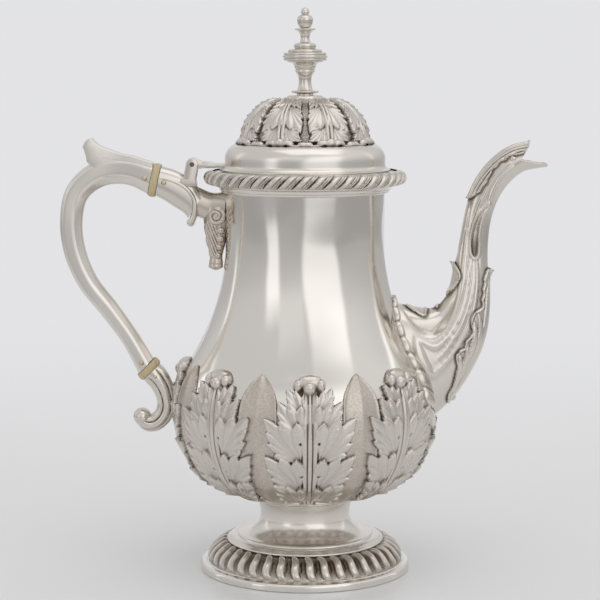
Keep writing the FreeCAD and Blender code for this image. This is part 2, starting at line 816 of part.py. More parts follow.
# Leaves hanging down the lid's dome, with a scalloped lower end.
lid_leaf_depth = read("lid_leaf_depth")
lid_leaf_width = read("lid_leaf_width")
lid_leaf_skin = turned("lid_leaf_skin", [
    (dome, shoulder_top + 1.4),
    (dome_flat, dome_height, dome_bulge),
    (dome_flat, dome_height + lid_leaf_depth * 0.7),
    (dome + lid_leaf_depth, shoulder_top + 1.6, -dome_bulge),
], lid_seat)
lid_leaf_side = [
    (lid_leaf_width * 0.2, lid_seat + shoulder_top + 1.0),
    (lid_leaf_width * 0.5, lid_seat + shoulder_top + 2.0, 0.5),
    (lid_leaf_width * 0.95, lid_seat + shoulder_top + 6.0, 0.9),
    (lid_leaf_width * 0.75, lid_seat + shoulder_top + 7.0),
    (lid_leaf_width * 0.9, lid_seat + shoulder_top + 12.0, 0.9),
    (lid_leaf_width * 0.6, lid_seat + shoulder_top + 13.0),
    (lid_leaf_width * 0.55, lid_seat + dome_height - 1.6, 0.7),
]
lid_leaf_prisms = leaf_prisms(
    "lid_leaf_prisms",
    mirrored(lid_leaf_side),
    dome_flat * 0.9,
    leaf_count,
    180 / leaf_count,
    dome,
)
lid_leaves = boolean("Common", "lid_leaves", lid_leaf_skin, lid_leaf_prisms)

# The handle springs from the neck and comes down to the belly. Its two ends are
# fixed; stations between them are set by how far down and how far out they lie.
upper_end = (-(neck + read("upper_end_reach")), mouth - read("upper_end_drop"))
lower_end = (-(neck + read("lower_end_reach")), mouth - read("lower_end_drop"))
handle_reach = read("handle_reach")
handle_depth = read("handle_depth")
handle_width = read("handle_width")
UPPER_HEADING = -77.6
LOWER_HEADING = -224.6
HANDLE_RUN = [
    (0.0, 0.0, UPPER_HEADING, 1.34, 1.2),
    (-0.04, 0.27, -85, 1.2, 1.12),
    (-0.025, 0.67, -117, 1.16, 1.06),
    (0.065, 0.92, -149, 1.07, 1.02),
    (0.227, 1.0, -180, 1.0, 1.0),
    (0.367, 0.96, -190, 0.97, 0.98),
    (0.536, 0.79, -207, 0.92, 0.95),
    (0.705, 0.47, -220, 0.87, 0.93),
    (0.851, 0.21, -221, 0.84, 0.92),
    (1.0, 0.0, LOWER_HEADING, 0.95, 0.95),
]


def handle_stations(growth):
    stations = []
    for down, out, heading, deep, wide in HANDLE_RUN:
        x = upper_end[0] + (lower_end[0] - upper_end[0]) * down - handle_reach * out
        z = upper_end[1] + (lower_end[1] - upper_end[1]) * down
        stations.append((x, z, heading, handle_depth * deep + growth, handle_width * wide + growth))
    return stations


def panelled(depth, width):
    """Handle section: narrow back, two side panels and a narrow inner face."""
    side = [(-0.5, 0.24), (-0.15, 0.5), (0.36, 0.5), (0.5, 0.24)]
    corners = [(depth * deep, width * -wide) for deep, wide in side]
    return corners + [(depth * deep, width * wide) for deep, wide in reversed(side)]


def cushion(depth, width):
    """Section of four shallow arcs that meet in soft ridges."""
    return [
        (depth * 0.36, width * -0.36, width * 0.14),
        (depth * 0.36, width * 0.36, depth * 0.14),
        (depth * -0.36, width * 0.36, width * 0.14),
        (depth * -0.36, width * -0.36, depth * 0.14),
    ]


handle_form = lofted("handle_form", handle_stations(as_size(0)), panelled)
handle_hollow = lofted("handle_hollow", handle_stations(cast_wall * -2), panelled)
handle_tube = boolean("Cut", "handle_tube", handle_form, handle_hollow)

# Insulators: a ring between handle and socket with a tongue on each side, held by
# a pin across each tongue.
insulator = read("insulator_thickness")
margin = read("insulator_margin")
tenon = read("tenon_length")
tenon_share = read("tenon_share")
tenon_room = read("tenon_room")


def run_point(end, heading, distance):
    """Point at a distance along the handle's run from one of its ends."""
    ahead = Rotation(Vector(0, 1, 0), heading).multVec(Vector(0, 0, 1))
    return (end[0] + distance * ahead.x, end[1] + distance * ahead.z)


def tongue(body, depth, width, low, high):
    """A prism with the tongue's section along the body's own Z."""
    sketch = new_sketch(body, body.Name + "_tongue", "XY_Plane", (0, 0, low, 0))
    draw(sketch, [
        (depth / -2, width / -2),
        (depth / 2, width / -2),
        (depth / 2, width / 2),
        (depth / -2, width / 2),
    ])
    pad = body.newObject("PartDesign::Pad", body.Name + "_tongue_pad")
    pad.Profile = sketch
    bind(pad, "Length", high - low)
    body.Tip = pad


def insulator_ring(name, end, heading, depth, width):
    """A ring with its two tongues, and the room that the tongues need."""
    body = new_body(name)
    outline = new_sketch(body, name + "_outline", "XY_Plane")
    draw(outline, cushion(depth + margin * 2, width + margin * 2))
    ring = body.newObject("PartDesign::Pad", name + "_ring")
    ring.Profile = outline
    bind(ring, "Length", insulator)
    tongue(body, depth * tenon_share, width * tenon_share, -tenon, insulator + tenon)
    place(body, end[0], 0, end[1], Vector(0, 1, 0), heading)
    room = new_body(name + "_room")
    tongue(
        room,
        depth * tenon_share + tenon_room * 2,
        width * tenon_share + tenon_room * 2,
        -tenon - tenon_room,
        insulator + tenon + tenon_room,
    )
    place(room, end[0], 0, end[1], Vector(0, 1, 0), heading)
    return body, room


upper_depth, upper_width = handle_depth * 1.34, handle_width * 1.2
lower_depth, lower_width = handle_depth * 0.95, handle_width * 0.95
TOWARDS_NECK = UPPER_HEADING + 180
upper_ring, upper_room = insulator_ring(
    "upper_ring", upper_end, TOWARDS_NECK, upper_depth, upper_width
)
lower_ring, lower_room = insulator_ring(
    "lower_ring", lower_end, LOWER_HEADING, lower_depth, lower_width
)

pin_radius = read("cross_pin_radius")
pin_dome = read("pin_dome")


def cross_pin(name, spot, width):
    """A pin across the handle with a domed head at each end."""
    body = new_body(name)
    half = width / 2 + 0.3
    outline = draw(new_sketch(body, name + "_outline", "XZ_Plane"), [
        (0, -half - pin_dome),
        (pin_radius, -half, level_bow((as_size(0), -half - pin_dome), (pin_radius, -half))),
        (pin_radius, half),
        (0, half + pin_dome, -level_bow((as_size(0), half + pin_dome), (pin_radius, half))),
    ])
    turn = body.newObject("PartDesign::Revolution", name + "_turn")
    turn.Profile = outline
    turn.ReferenceAxis = (outline, ["V_Axis"])
    turn.Angle = 360
    body.Tip = turn
    place(body, spot[0], 0, spot[1], Vector(1, 0, 0), 90)
    return body


pin_reach = tenon * 0.6
handle_pins = grouped("handle_pins", [
    cross_pin("pin_1", run_point(upper_end, TOWARDS_NECK, -pin_reach), upper_width),
    cross_pin("pin_2", run_point(upper_end, TOWARDS_NECK, insulator + pin_reach), upper_width),
    cross_pin("pin_3", run_point(lower_end, LOWER_HEADING, -pin_reach), lower_width),
    cross_pin("pin_4", run_point(lower_end, LOWER_HEADING, insulator + pin_reach), lower_width),
])
upper_insulator = boolean("Cut", "upper_insulator", upper_ring, handle_pins)
lower_insulator = boolean("Cut", "lower_insulator", lower_ring, handle_pins)
handle_grip = boolean("Cut", "handle_grip", handle_tube, handle_pins)

# Thumb rest: a moulded scroll along the handle's shoulder, seated on its curve.
thumb_rise = read("thumb_rise")
THUMB_SIDE = [
    (0.2, 0.1),
    (1.4, 0.37),
    (-19.5, 0.69),
    (-30.1, 1.0, -1.05),
    (-34.1, 0.8, 0.9),
    (-32.7, 0.44, 0.4),
    (-24.0, 0.2),
]
thumb_corners = []
for out, up, *bow in THUMB_SIDE:
    thumb_corners.append((upper_end[0] + out, upper_end[1] + thumb_rise * up, *bow))
thumb_form = padded("thumb_form", "XZ_Plane", thumb_corners, read("thumb_width") * 2)
thumb_rest = boolean("Cut", "thumb_rest", thumb_form, handle_form)

# Upper socket: an oval casting from the insulator to a plate on the neck.
plate_depth = read("socket_plate_depth")
plate_width = read("socket_plate_width")
upper_start = run_point(upper_end, TOWARDS_NECK, insulator)
upper_reach = read("upper_end_reach")


def socket_station(share, drop, heading, deep, wide):
    x = -(neck + upper_reach * share)
    return (x, upper_end[1] - drop, heading, upper_depth * deep, upper_width * wide)


socket_form = lofted("socket_form", [
    (upper_start[0], upper_start[1], TOWARDS_NECK, upper_depth, upper_width),
    socket_station(0.65, 5.0, 108, 1.15, 0.95),
    socket_station(0.47, 8.6, 115, 1.12, 0.88),
    socket_station(0.3, 11.6, 110, 0.9, 0.78),
    socket_station(-0.05, 15.4, 100, 0.88, 0.7),
], cushion)
plate_top = moulding_base - 0.2
plate_low = upper_end[1] - 27.0
neck_and_plate = turned("neck_and_plate", [
    (0, plate_low - 40),
    (neck, plate_low - 40),
    (neck, plate_low),
    (neck + plate_depth, plate_low),
    (neck + plate_depth, plate_top),
    (neck, plate_top),
    (neck, mouth),
    (0, mouth),
])
plate_band = turned("plate_band", [
    (neck, plate_low),
    (neck + plate_depth, plate_low),
    (neck + plate_depth, plate_top),
    (neck, plate_top),
])
plate_prism = padded("plate_prism", "YZ_Plane", [
    (-plate_width, plate_top),
    (plate_width * -0.7, plate_low, -1.0),
    (plate_width * 0.7, plate_low),
    (plate_width, plate_top, -1.0),
], neck, True, -neck)
upper_socket_plate = boolean("Common", "upper_socket_plate", plate_band, plate_prism)
socket_seated = boolean("Cut", "socket_seated", socket_form, neck_and_plate)
socket_bored = boolean("Cut", "socket_bored", socket_seated, upper_room)
upper_socket = boolean("Cut", "upper_socket", socket_bored, handle_pins)

# Raised C-scroll wire that wraps the socket's belly.
wire = read("scroll_wire")
SCROLL_RUN = [
    (0.0, 0.7, 75),
    (8.9, -1.7, 66, -0.1),
    (19.5, -14.8, 5, -2.6),
    (17.0, -23.8, -18, -0.4),
]
outer_edge = []
inner_edge = []
for along, rise, facing, *bow in SCROLL_RUN:
    out = Rotation(Vector(0, 0, 1), facing).multVec(Vector(1, 0, 0))
    x, z = upper_start[0] + along, upper_end[1] + rise
    outer_edge.append((x + wire * out.x, z + wire * out.y, *bow))
    inner_edge.append((x - wire * out.x, z - wire * out.y, *bow))
scroll_form = padded(
    "scroll_form",
    "XZ_Plane",
    inner_edge + reversed_side(outer_edge),
    upper_width * 0.97 + wire * 1.2,
)
scroll_on_socket = boolean("Cut", "scroll_on_socket", scroll_form, socket_form)
scroll_by_ring = boolean("Cut", "scroll_by_ring", scroll_on_socket, upper_ring)
scroll_by_pins = boolean("Cut", "scroll_by_pins", scroll_by_ring, handle_pins)

# Volute with its tapered drop, below the socket and against the neck.
drop_length = read("drop_length")
drop_width = read("drop_width")
volute = read("volute_radius")
volute_x = -(neck + plate_depth + volute + 0.4)
volute_z = upper_end[1] - 19.0
drop_end = (volute_x + 1.2, volute_z - volute - drop_length + 2.4)
drop_form = lofted("drop_form", [
    (volute_x + 0.6, volute_z + 6.0, 180, 8.4, drop_width * 1.7),
    (volute_x + 0.6, volute_z - volute, 180, 9.8, drop_width * 1.9),
    (volute_x + 1.6, volute_z - volute - drop_length * 0.4, 180, 7.6, drop_width * 1.5),
    (volute_x + 1.8, volute_z - volute - drop_length * 0.75, 180, 6.4, drop_width * 1.1),
    (drop_end[0], drop_end[1], 180, 5.6, drop_width),
], cushion)
volute_form = doc.addObject("Part::Cylinder", "volute_form")
bind(volute_form, "Radius", volute)
bind(volute_form, "Height", drop_width * 2)
place(volute_form, volute_x, drop_width, volute_z, Vector(1, 0, 0), 90)
drop_bud = doc.addObject("Part::Sphere", "drop_bud")
bind(drop_bud, "Radius", drop_width * 0.58)
place(drop_bud, drop_end[0], 0, drop_end[1])
drop_joined = joined("drop_joined", [drop_form, volute_form, drop_bud])
drop_off_plate = boolean("Cut", "drop_off_plate", drop_joined, neck_and_plate)
drop_off_neck = boolean("Cut", "drop_off_neck", drop_off_plate, vessel_form)
upper_socket_drop = boolean("Cut", "upper_socket_drop", drop_off_neck, socket_form)

# Lower socket: a scroll from the insulator past the belly to a ball.
lower_start = run_point(lower_end, LOWER_HEADING, insulator)
touch = (-(belly + 3.6), belly_height + 1.4)
scroll_curve = lofted("scroll_curve", [
    (lower_start[0], lower_start[1], LOWER_HEADING, lower_depth, lower_width),
    (
        (lower_start[0] + touch[0]) / 2 + 2.0,
        (lower_start[1] + touch[1]) / 2 + 0.4,
        -205,
        lower_depth * 1.04,
        lower_width * 0.95,
    ),
    (touch[0], touch[1], -180, lower_depth * 0.94, lower_width * 0.85),
    (touch[0] - 3.5, touch[1] - 8.0, -138, lower_depth * 0.76, lower_width * 0.8),
    (touch[0] - 9.6, touch[1] - 11.8, -90, lower_depth * 0.72, lower_width * 0.78),
    (touch[0] - 14.0, touch[1] - 10.6, -60, lower_depth * 0.64, lower_width * 0.75),
], cushion)
curl_ball = doc.addObject("Part::Sphere", "curl_ball")
bind(curl_ball, "Radius", read("curl_radius"))
place(curl_ball, touch[0] - 14.4, 0, touch[1] - 9.6)
scroll_joined = joined("scroll_joined", [scroll_curve, curl_ball])
scroll_seated = boolean("Cut", "scroll_seated", scroll_joined, vessel_form)
scroll_bored = boolean("Cut", "scroll_bored", scroll_seated, lower_room)
lower_socket = boolean("Cut", "lower_socket", scroll_bored, handle_pins)

# Hinge: two fixed knuckles on a strap over the upper socket, a pin, and the lid's
# arm with the middle knuckle.
hinge = (-(neck + read("hinge_reach")), mouth + read("hinge_rise"))
pin = read("hinge_pin_radius")
knuckle = read("knuckle_radius")
knuckle_width = read("knuckle_width")
lug_width = read("lug_width")
slot_width = knuckle_width + working_gap * 2
hinge_width = slot_width + lug_width * 2
lug_foot = hinge[1] - 15.0


def bored(body, spot, radius):
    """Drill a body from side to side."""
    sketch = new_sketch(body, body.Name + "_bore", "XZ_Plane")
    circle = Part.Circle(Vector(spot[0].value, spot[1].value, 0), Vector(0, 0, 1), radius.value)
    index = sketch.addGeometry(circle, False)
    size = sketch.addConstraint(Sketcher.Constraint("Radius", index, radius.value))
    bind(sketch, "Constraints[%d]" % size, radius)
    fix_point(sketch, index, 3, spot[0], spot[1])
    drill = body.newObject("PartDesign::Pocket", body.Name + "_drill")
    drill.Profile = sketch
    drill.SideType = "Symmetric"
    bind(drill, "Length", hinge_width * 2)
    body.Tip = drill


lug_form = padded("lug_form", "XZ_Plane", [
    (hinge[0] - knuckle, lug_foot),
    (hinge[0] + knuckle * 0.7, lug_foot),
    (hinge[0] + knuckle, hinge[1]),
    (hinge[0] - knuckle, hinge[1], knuckle),
], hinge_width)
slot = new_sketch(lug_form, "lug_slot", "XZ_Plane")
draw(slot, [
    (hinge[0] - knuckle * 2, hinge[1] - knuckle - working_gap),
    (hinge[0] + knuckle * 2, hinge[1] - knuckle - working_gap),
    (hinge[0] + knuckle * 2, hinge[1] + knuckle * 2),
    (hinge[0] - knuckle * 2, hinge[1] + knuckle * 2),
])
slot_cut = lug_form.newObject("PartDesign::Pocket", "lug_slot_cut")
slot_cut.Profile = slot
slot_cut.SideType = "Symmetric"
bind(slot_cut, "Length", slot_width)
lug_form.Tip = slot_cut
bored(lug_form, hinge, pin)
hinge_lugs = boolean("Cut", "hinge_lugs", lug_form, socket_form)
upper_socket_scroll = boolean("Cut", "upper_socket_scroll", scroll_by_pins, hinge_lugs)

hinge_pin = doc.addObject("Part::Cylinder", "hinge_pin")
hinge_pin.Label = "hinge_pin"
bind(hinge_pin, "Radius", pin)
bind(hinge_pin, "Height", hinge_width + 0.8)
place(hinge_pin, hinge[0], (hinge_width + 0.8) / 2, hinge[1], Vector(1, 0, 0), 90)

arm_form = padded("arm_form", "XZ_Plane", [
    (hinge[0], hinge[1] - knuckle, knuckle),
    (hinge[0] + knuckle + 2.0, hinge[1] - knuckle * 0.66),
    (hinge[0] + knuckle + 2.0, hinge[1] + knuckle * 0.4),
    (hinge[0], hinge[1] + knuckle),
], knuckle_width)
strap = new_sketch(arm_form, "arm_strap", "XZ_Plane")
draw(strap, [
    (hinge[0] + knuckle + 0.6, hinge[1] - knuckle * 0.66),
    (-neck + 6.0, hinge[1] - knuckle * 0.6),
    (-neck + 6.0, hinge[1] + knuckle * 0.2),
    (hinge[0] + knuckle + 0.6, hinge[1] + knuckle * 0.42),
])
strap_pad = arm_form.newObject("PartDesign::Pad", "arm_strap_pad")
strap_pad.Profile = strap
strap_pad.SideType = "Symmetric"
bind(strap_pad, "Length", read("arm_width"))
arm_form.Tip = strap_pad
bored(arm_form, hinge, pin + read("hinge_pin_fit"))
hinge_arm = boolean("Cut", "hinge_arm", arm_form, lid_form)

# Spout: a hollow swan neck from the belly to a beak. Stations lie between its
# root inside the vessel's wall and its lip.
spout_root = (belly * 0.83, vessel_base + 69.2)
spout_lip = (neck + read("spout_reach"), vessel_base + read("spout_rise"))
SPOUT_RUN = [
    (-0.031, -0.017, 74.4, 66.9, 36.0),
    (0.174, 0.041, 66.6, 50.4, 30.0),
    (0.307, 0.108, 58.4, 37.8, 25.5),
    (0.39, 0.196, 50.4, 31.4, 22.5),
    (0.427, 0.303, 41.2, 25.8, 19.5),
    (0.441, 0.427, 28.0, 20.3, 16.5),
    (0.45, 0.522, 14.2, 16.3, 13.8),
    (0.47, 0.647, 6.2, 14.0, 12.5),
    (0.501, 0.769, 14.2, 14.2, 12.5),
    (0.556, 0.862, 25.5, 14.4, 13.0),
    (0.648, 0.95, 44.7, 14.4, 14.0),
    (0.782, 1.018, 61.2, 14.1, 14.8),
    (0.905, 1.037, 71.5, 13.8, 15.0),
    (1.029, 1.047, 80.0, 13.2, 15.0),
]


def spout_at(along, up):
    return (
        spout_root[0] + (spout_lip[0] - spout_root[0]) * along,
        spout_root[1] + (spout_lip[1] - spout_root[1]) * up,
    )


def spout_loft(name, growth):
    stations = []
    for along, up, heading, depth, width in SPOUT_RUN:
        x, z = spout_at(along, up)
        stations.append((x, z, heading, growth * 2 + depth, growth * 2 + width))
    return lofted(name, stations, cushion)


def side_pad(name, outline, width):
    """A plate cut to a side view of the spout."""
    return padded(name, "XZ_Plane", [spout_at(*corner[:2]) + corner[2:] for corner in outline], width)


spout_leaf_depth = read("spout_leaf_depth")
spout_form = spout_loft("spout_form", as_size(0))
spout_bore = spout_loft("spout_bore", -cast_wall)
spout_skin = spout_loft("spout_skin", spout_leaf_depth)
mouth_cut = side_pad("mouth_cut", [
    (0.803, 1.02),
    (1.0, 1.0),
    (1.0, 0.8),
    (1.3, 0.8),
    (1.3, 1.3),
    (0.9, 1.3),
    (0.88, 1.12),
], 60)
spout_tube = boolean("Cut", "spout_tube", spout_form, spout_bore)
spout_mouthed = boolean("Cut", "spout_mouthed", spout_tube, mouth_cut)
spout_seated = boolean("Cut", "spout_seated", spout_mouthed, vessel_form)
halves = []
for name, side in (("spout_near_half", -1), ("spout_far_half", 0)):
    half_space = doc.addObject("Part::Box", name + "_space")
    half_space.Length = 200
    half_space.Width = 60
    half_space.Height = 300
    half_space.Placement.Base = Vector(0, 60 * side, 0)
    halves.append(boolean("Common", name, spout_seated, half_space))
spout_near_half, spout_far_half = halves

hood_plate = side_pad("hood_plate", [
    (0.36, 0.83),
    (0.44, 0.84),
    (0.6, 0.965, -1.0),
    (0.803, 1.02, -1.0),
    (0.88, 1.12),
    (0.8, 1.2),
    (0.4, 1.1),
], 40)
hood_skin = boolean("Common", "hood_skin", spout_skin, hood_plate)
spout_hood = boolean("Cut", "spout_hood", hood_skin, spout_form)
upper_leaf_plate = side_pad("upper_leaf_plate", [
    (-0.235, 0.156),
    (0.028, 0.107),
    (0.174, 0.091, 1.0),
    (0.301, 0.186, 2.0),
    (0.346, 0.312, 0.6),
    (0.361, 0.41, 0.4),
    (0.306, 0.522, 0.6),
    (0.203, 0.537),
    (-0.235, 0.488),
], 60)
upper_leaf_skin = boolean("Common", "upper_leaf_skin", spout_skin, upper_leaf_plate)
upper_leaf_trim = boolean("Cut", "upper_leaf_trim", upper_leaf_skin, spout_form)
under_leaf_plate = side_pad("under_leaf_plate", [
    (0.2, -0.45),
    (0.306, -0.195),
    (0.344, -0.068, -1.2),
    (0.364, 0.049, -1.8),
    (0.44, 0.137, -1.8),
    (0.463, 0.254, -1.8),
    (0.513, 0.332, -1.4),
    (0.537, 0.41, -1.0),
    (0.618, 0.474),
    (0.744, 0.342),
    (0.7, -0.195),
    (0.408, -0.498),
], 60)
under_leaf_skin = boolean("Common", "under_leaf_skin", spout_skin, under_leaf_plate)
under_leaf_trim = boolean("Cut", "under_leaf_trim", under_leaf_skin, spout_form)

# Leaf-edged border on the vessel round the spout's root.
flange_prism = padded("flange_prism", "YZ_Plane", mirrored([
    (as_size(14.0), vessel_base + 36.0),
    (as_size(29.5), vessel_base + 47.0, 2.0),
    (as_size(28.3), vessel_base + 57.0, 1.5),
    (as_size(28.3), vessel_base + 70.5, 1.5),
    (as_size(20.0), vessel_base + 80.0, 2.0),
    (as_size(16.0), vessel_base + 90.0, 1.5),
    (as_size(4.0), vessel_base + 104.0, 1.0),
]), belly, True, belly)
flange_band = band_on_vessel("flange_band", read("flange_depth"))
flange_whole = boolean("Common", "flange_whole", flange_band, flange_prism)
spout_flange = boolean("Cut", "spout_flange", flange_whole, spout_form)
upper_leaf_seated = boolean("Cut", "upper_leaf_seated", upper_leaf_trim, vessel_form)
under_leaf_seated = boolean("Cut", "under_leaf_seated", under_leaf_trim, vessel_form)
spout_upper_leaf = boolean("Cut", "spout_upper_leaf", upper_leaf_seated, spout_flange)
spout_under_leaf = boolean("Cut", "spout_under_leaf", under_leaf_seated, spout_flange)

# Where the spout's border and the lower socket sit, the leaves are cut away.
acanthus_open = boolean("Cut", "acanthus_open", acanthus_all, flange_prism)
acanthus_leaves = boolean("Cut", "acanthus_leaves", acanthus_open, scroll_curve)
# The two plain leaves beside the spout stop short below its border.
spout_room = padded("spout_room", "YZ_Plane", mirrored([
    (as_size(40.0), vessel_base + 46.4),
    (as_size(40.0), vessel_base + 76.0),
]), belly, True, belly)
plain_short = boolean("Cut", "plain_short", plain_between, spout_room)
plain_leaves = boolean("Cut", "plain_leaves", plain_short, flange_prism)

pieces = [
    foot_plinth, foot_gadroon, foot_spool, foot_collar, body_shell, neck_moulding, rim_gadroon,
    acanthus_leaves, plain_leaves, lid_shell, lid_bezel, lid_leaves, finial_plate, finial_stem,
    finial_knop, finial_spindle, finial_ball, finial_stud, finial_nut, hinge_lugs, hinge_pin,
    hinge_arm, upper_socket, upper_socket_plate, upper_socket_scroll, upper_socket_drop,
    upper_insulator, handle_grip, thumb_rest, lower_insulator, lower_socket, handle_pins,
    spout_near_half, spout_far_half, spout_hood, spout_upper_leaf, spout_under_leaf, spout_flange,
]

doc.recompute()
failed = [item.Name for item in doc.Objects if {"Invalid", "Error"} & set(item.State)]
for piece in pieces:
    if piece.Shape.isNull() or not piece.Shape.isValid():
        failed.append(piece.Label)
if failed:
    raise SystemExit("failed: " + ", ".join(failed))
os.makedirs("parts", exist_ok=True)
for piece in pieces:
    piece.Shape.exportStep("parts/%s.step" % piece.Label)
    print(piece.Label, round(piece.Shape.Volume), len(piece.Shape.Solids))
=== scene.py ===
# %% [markdown]
# # A silver coffee pot
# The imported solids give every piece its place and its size. This lesson dresses
# them: the turned pieces are spun again so that they mirror cleanly, the leafwork
# and the borders get their carving, and every surface gets a worn silver finish.

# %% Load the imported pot
import math

import bmesh
import bpy
import numpy as np
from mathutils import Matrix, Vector


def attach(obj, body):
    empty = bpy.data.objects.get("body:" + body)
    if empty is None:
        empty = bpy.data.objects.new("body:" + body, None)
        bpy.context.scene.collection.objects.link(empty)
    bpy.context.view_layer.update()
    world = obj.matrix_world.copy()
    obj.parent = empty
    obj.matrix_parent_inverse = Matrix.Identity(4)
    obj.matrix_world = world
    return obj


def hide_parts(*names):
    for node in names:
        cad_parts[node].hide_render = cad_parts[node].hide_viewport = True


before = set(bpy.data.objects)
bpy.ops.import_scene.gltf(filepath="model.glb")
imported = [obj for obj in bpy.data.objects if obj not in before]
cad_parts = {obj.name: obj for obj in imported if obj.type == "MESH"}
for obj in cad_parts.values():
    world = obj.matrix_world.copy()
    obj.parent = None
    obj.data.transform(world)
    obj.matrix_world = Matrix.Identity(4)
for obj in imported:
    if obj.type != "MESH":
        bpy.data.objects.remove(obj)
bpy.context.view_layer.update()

MM = 0.001
TURN = 2 * math.pi

# %% [markdown]
# ## Finishes as expressions
# A finish is a small graph of nodes. Wiring each sum by hand hides the idea, so one
# class wraps a socket and lets Python's own operators add the Math nodes.

# %% A socket that can be summed
class Wire:
    def __init__(self, finish, socket):
        self.finish = finish
        self.socket = socket

    def sum(self, operation, first, second):
        return self.finish.node("ShaderNodeMath", {"operation": operation}, [first, second])

    def __add__(self, other):
        return self.sum("ADD", self, other)

    def __sub__(self, other):
        return self.sum("SUBTRACT", self, other)

    def __mul__(self, other):
        return self.sum("MULTIPLY", self, other)

    def __rsub__(self, other):
        return self.sum("SUBTRACT", other, self)

    __radd__ = __add__
    __rmul__ = __mul__


# %% A board that adds its own nodes
class Board:
    def __init__(self, tree):
        self.nodes = tree.nodes
        self.links = tree.links

    def node(self, kind, settings, sockets, output=0):
        made = self.nodes.new(kind)
        for key, value in settings.items():
            setattr(made, key, value)
        named = sockets.items() if isinstance(sockets, dict) else enumerate(sockets)
        for key, value in named:
            self.feed(made.inputs[key], value)
        return Wire(self, made.outputs[output])

    def feed(self, socket, value):
        if isinstance(value, Wire):
            self.links.new(value.socket, socket)
        else:
            socket.default_value = value

    def place(self, kind="Object"):
        return self.node("ShaderNodeTexCoord", {}, {}, kind)

    def noise(self, where, scale, detail=3.0):
        sockets = {"Vector": where, "Scale": scale, "Detail": detail}
        return self.node("ShaderNodeTexNoise", {}, sockets)

    def attribute(self, name):
        return self.node("ShaderNodeAttribute", {"attribute_name": name}, {}, "Fac")

    def mix(self, share, first, second):
        sockets = {0: share, 6: (*first, 1) if isinstance(first, tuple) else first,
                   7: (*second, 1) if isinstance(second, tuple) else second}
        return self.node("ShaderNodeMix", {"data_type": "RGBA"}, sockets, 2)

    def bump(self, height, strength, distance):
        sockets = {"Height": height, "Strength": strength, "Distance": distance}
        return self.node("ShaderNodeBump", {}, sockets)

    def limit(self, value):
        return self.node("ShaderNodeClamp", {}, [value, 0.0, 1.0])

    def ramp(self, value, low, high):
        sockets = {"Value": value, "From Min": low, "From Max": high}
        return self.node("ShaderNodeMapRange", {"interpolation_type": "SMOOTHSTEP"}, sockets)


class Finish(Board):
    def __init__(self, name):
        self.material = bpy.data.materials.new(name)
        self.material.use_nodes = True
        super().__init__(self.material.node_tree)
        self.shader = self.nodes["Principled BSDF"]

    def set(self, **sockets):
        for key, value in sockets.items():
            self.feed(self.shader.inputs[key.replace("_", " ")], value)


# %% [markdown]
# ## The silvers
# Old silver is one metal with several skins: polished sheet with faint wear, cast
# work that keeps brown tarnish and painted shade in its recesses, and leafwork matted
# with punches. Tarnish and painted shade could go on a picture. Here the carved pieces
# carry a "recess" number on each vertex instead, which needs no unwrapping and is largest
# where the carving is deep.

# %% Mix a silver
# BROWN is the colour of tarnish and of painted shade in the recesses.
BROWN = (0.15, 0.11, 0.075)


def silver(name, bright, rough, matting=0.0, planish=0.0):
    finish = Finish(name)
    where = finish.place()
    cloud = finish.noise(where, 22.0, 4.0)
    speck = finish.noise(where, 1100.0, 2.0)
    stretch = finish.node("ShaderNodeMapping", {}, {"Vector": where, "Scale": (60.0, 60.0, 900.0)})
    scratch = finish.noise(stretch, 6.0, 2.0)
    recess = finish.attribute("recess")
    # The recess number darkens the base colour towards brown: tarnish, and painted shade in the
    # hollows.
    dirt_and_shade = finish.limit(recess * (0.55 + cloud * 0.9))
    punched = finish.ramp(speck, 0.42, 0.62) * matting
    shade = tuple(0.5 * part for part in bright)
    worn = finish.mix(finish.limit(cloud * 0.1 + punched * 0.5), bright, shade)
    finish.set(Base_Color=finish.mix(dirt_and_shade, worn, BROWN))
    finish.set(Metallic=1.0)
    finish.set(Roughness=finish.limit(rough + (cloud - 0.5) * 0.06 + scratch * 0.05 + dirt_and_shade * 0.3))
    swell = finish.noise(where, 26.0, 0.4) * planish
    grain = speck * matting * 0.0003 + cloud * 0.00006 + swell
    finish.set(Normal=finish.bump(grain, 1.0, 1.0))
    print("silver", name, "roughness", rough)
    return finish.material


plain_silver = silver("polished_silver", (0.83, 0.795, 0.75), 0.09, 0.0, 0.003)
worn_silver = silver("worn_silver", (0.81, 0.77, 0.72), 0.2, 0.0, 0.002)
cast_silver = silver("cast_silver", (0.74, 0.695, 0.64), 0.16)
leaf_silver = silver("matted_silver", (0.74, 0.69, 0.64), 0.24, 0.15)
ground_silver = silver("punched_silver", (0.68, 0.615, 0.55), 0.34, 0.55)
dark_silver = silver("tarnished_silver", (0.66, 0.6, 0.535), 0.22)
pit_silver = silver("blackened_silver", (0.16, 0.14, 0.12), 0.4)
brass = silver("pin_metal", (0.62, 0.55, 0.38), 0.3)

# %% [markdown]
# ## The insulators
# The two rings that keep the handle cool are pale and waxy, with faint growth lines
# and a darker edge where hands and polish have left their mark. A wave texture bent by
# noise draws such lines without a picture.

# %% Mix the insulator
def pale_ring():
    finish = Finish("pale_ring")
    where = finish.place()
    band = finish.node("ShaderNodeTexWave", {"wave_type": "BANDS"},
                       {"Vector": where, "Scale": 160.0, "Distortion": 6.0, "Detail": 3.0})
    cloud = finish.noise(where, 140.0)
    light, deep = (0.68, 0.57, 0.35), (0.46, 0.35, 0.18)
    tone = finish.mix(finish.limit(band * 0.25 + cloud * 0.6), light, deep)
    worn = finish.limit(finish.attribute("recess") * (0.6 + cloud))
    finish.set(Base_Color=finish.mix(worn, tone, (0.06, 0.05, 0.04)))
    finish.set(Roughness=finish.limit(0.28 + cloud * 0.2))
    finish.set(Normal=finish.bump(cloud, 0.2, 0.0003))
    finish.set(Subsurface_Weight=0.1, Subsurface_Scale=0.002)
    return finish.material


ring_finish = pale_ring()
print("finishes:", [material.name for material in bpy.data.materials])

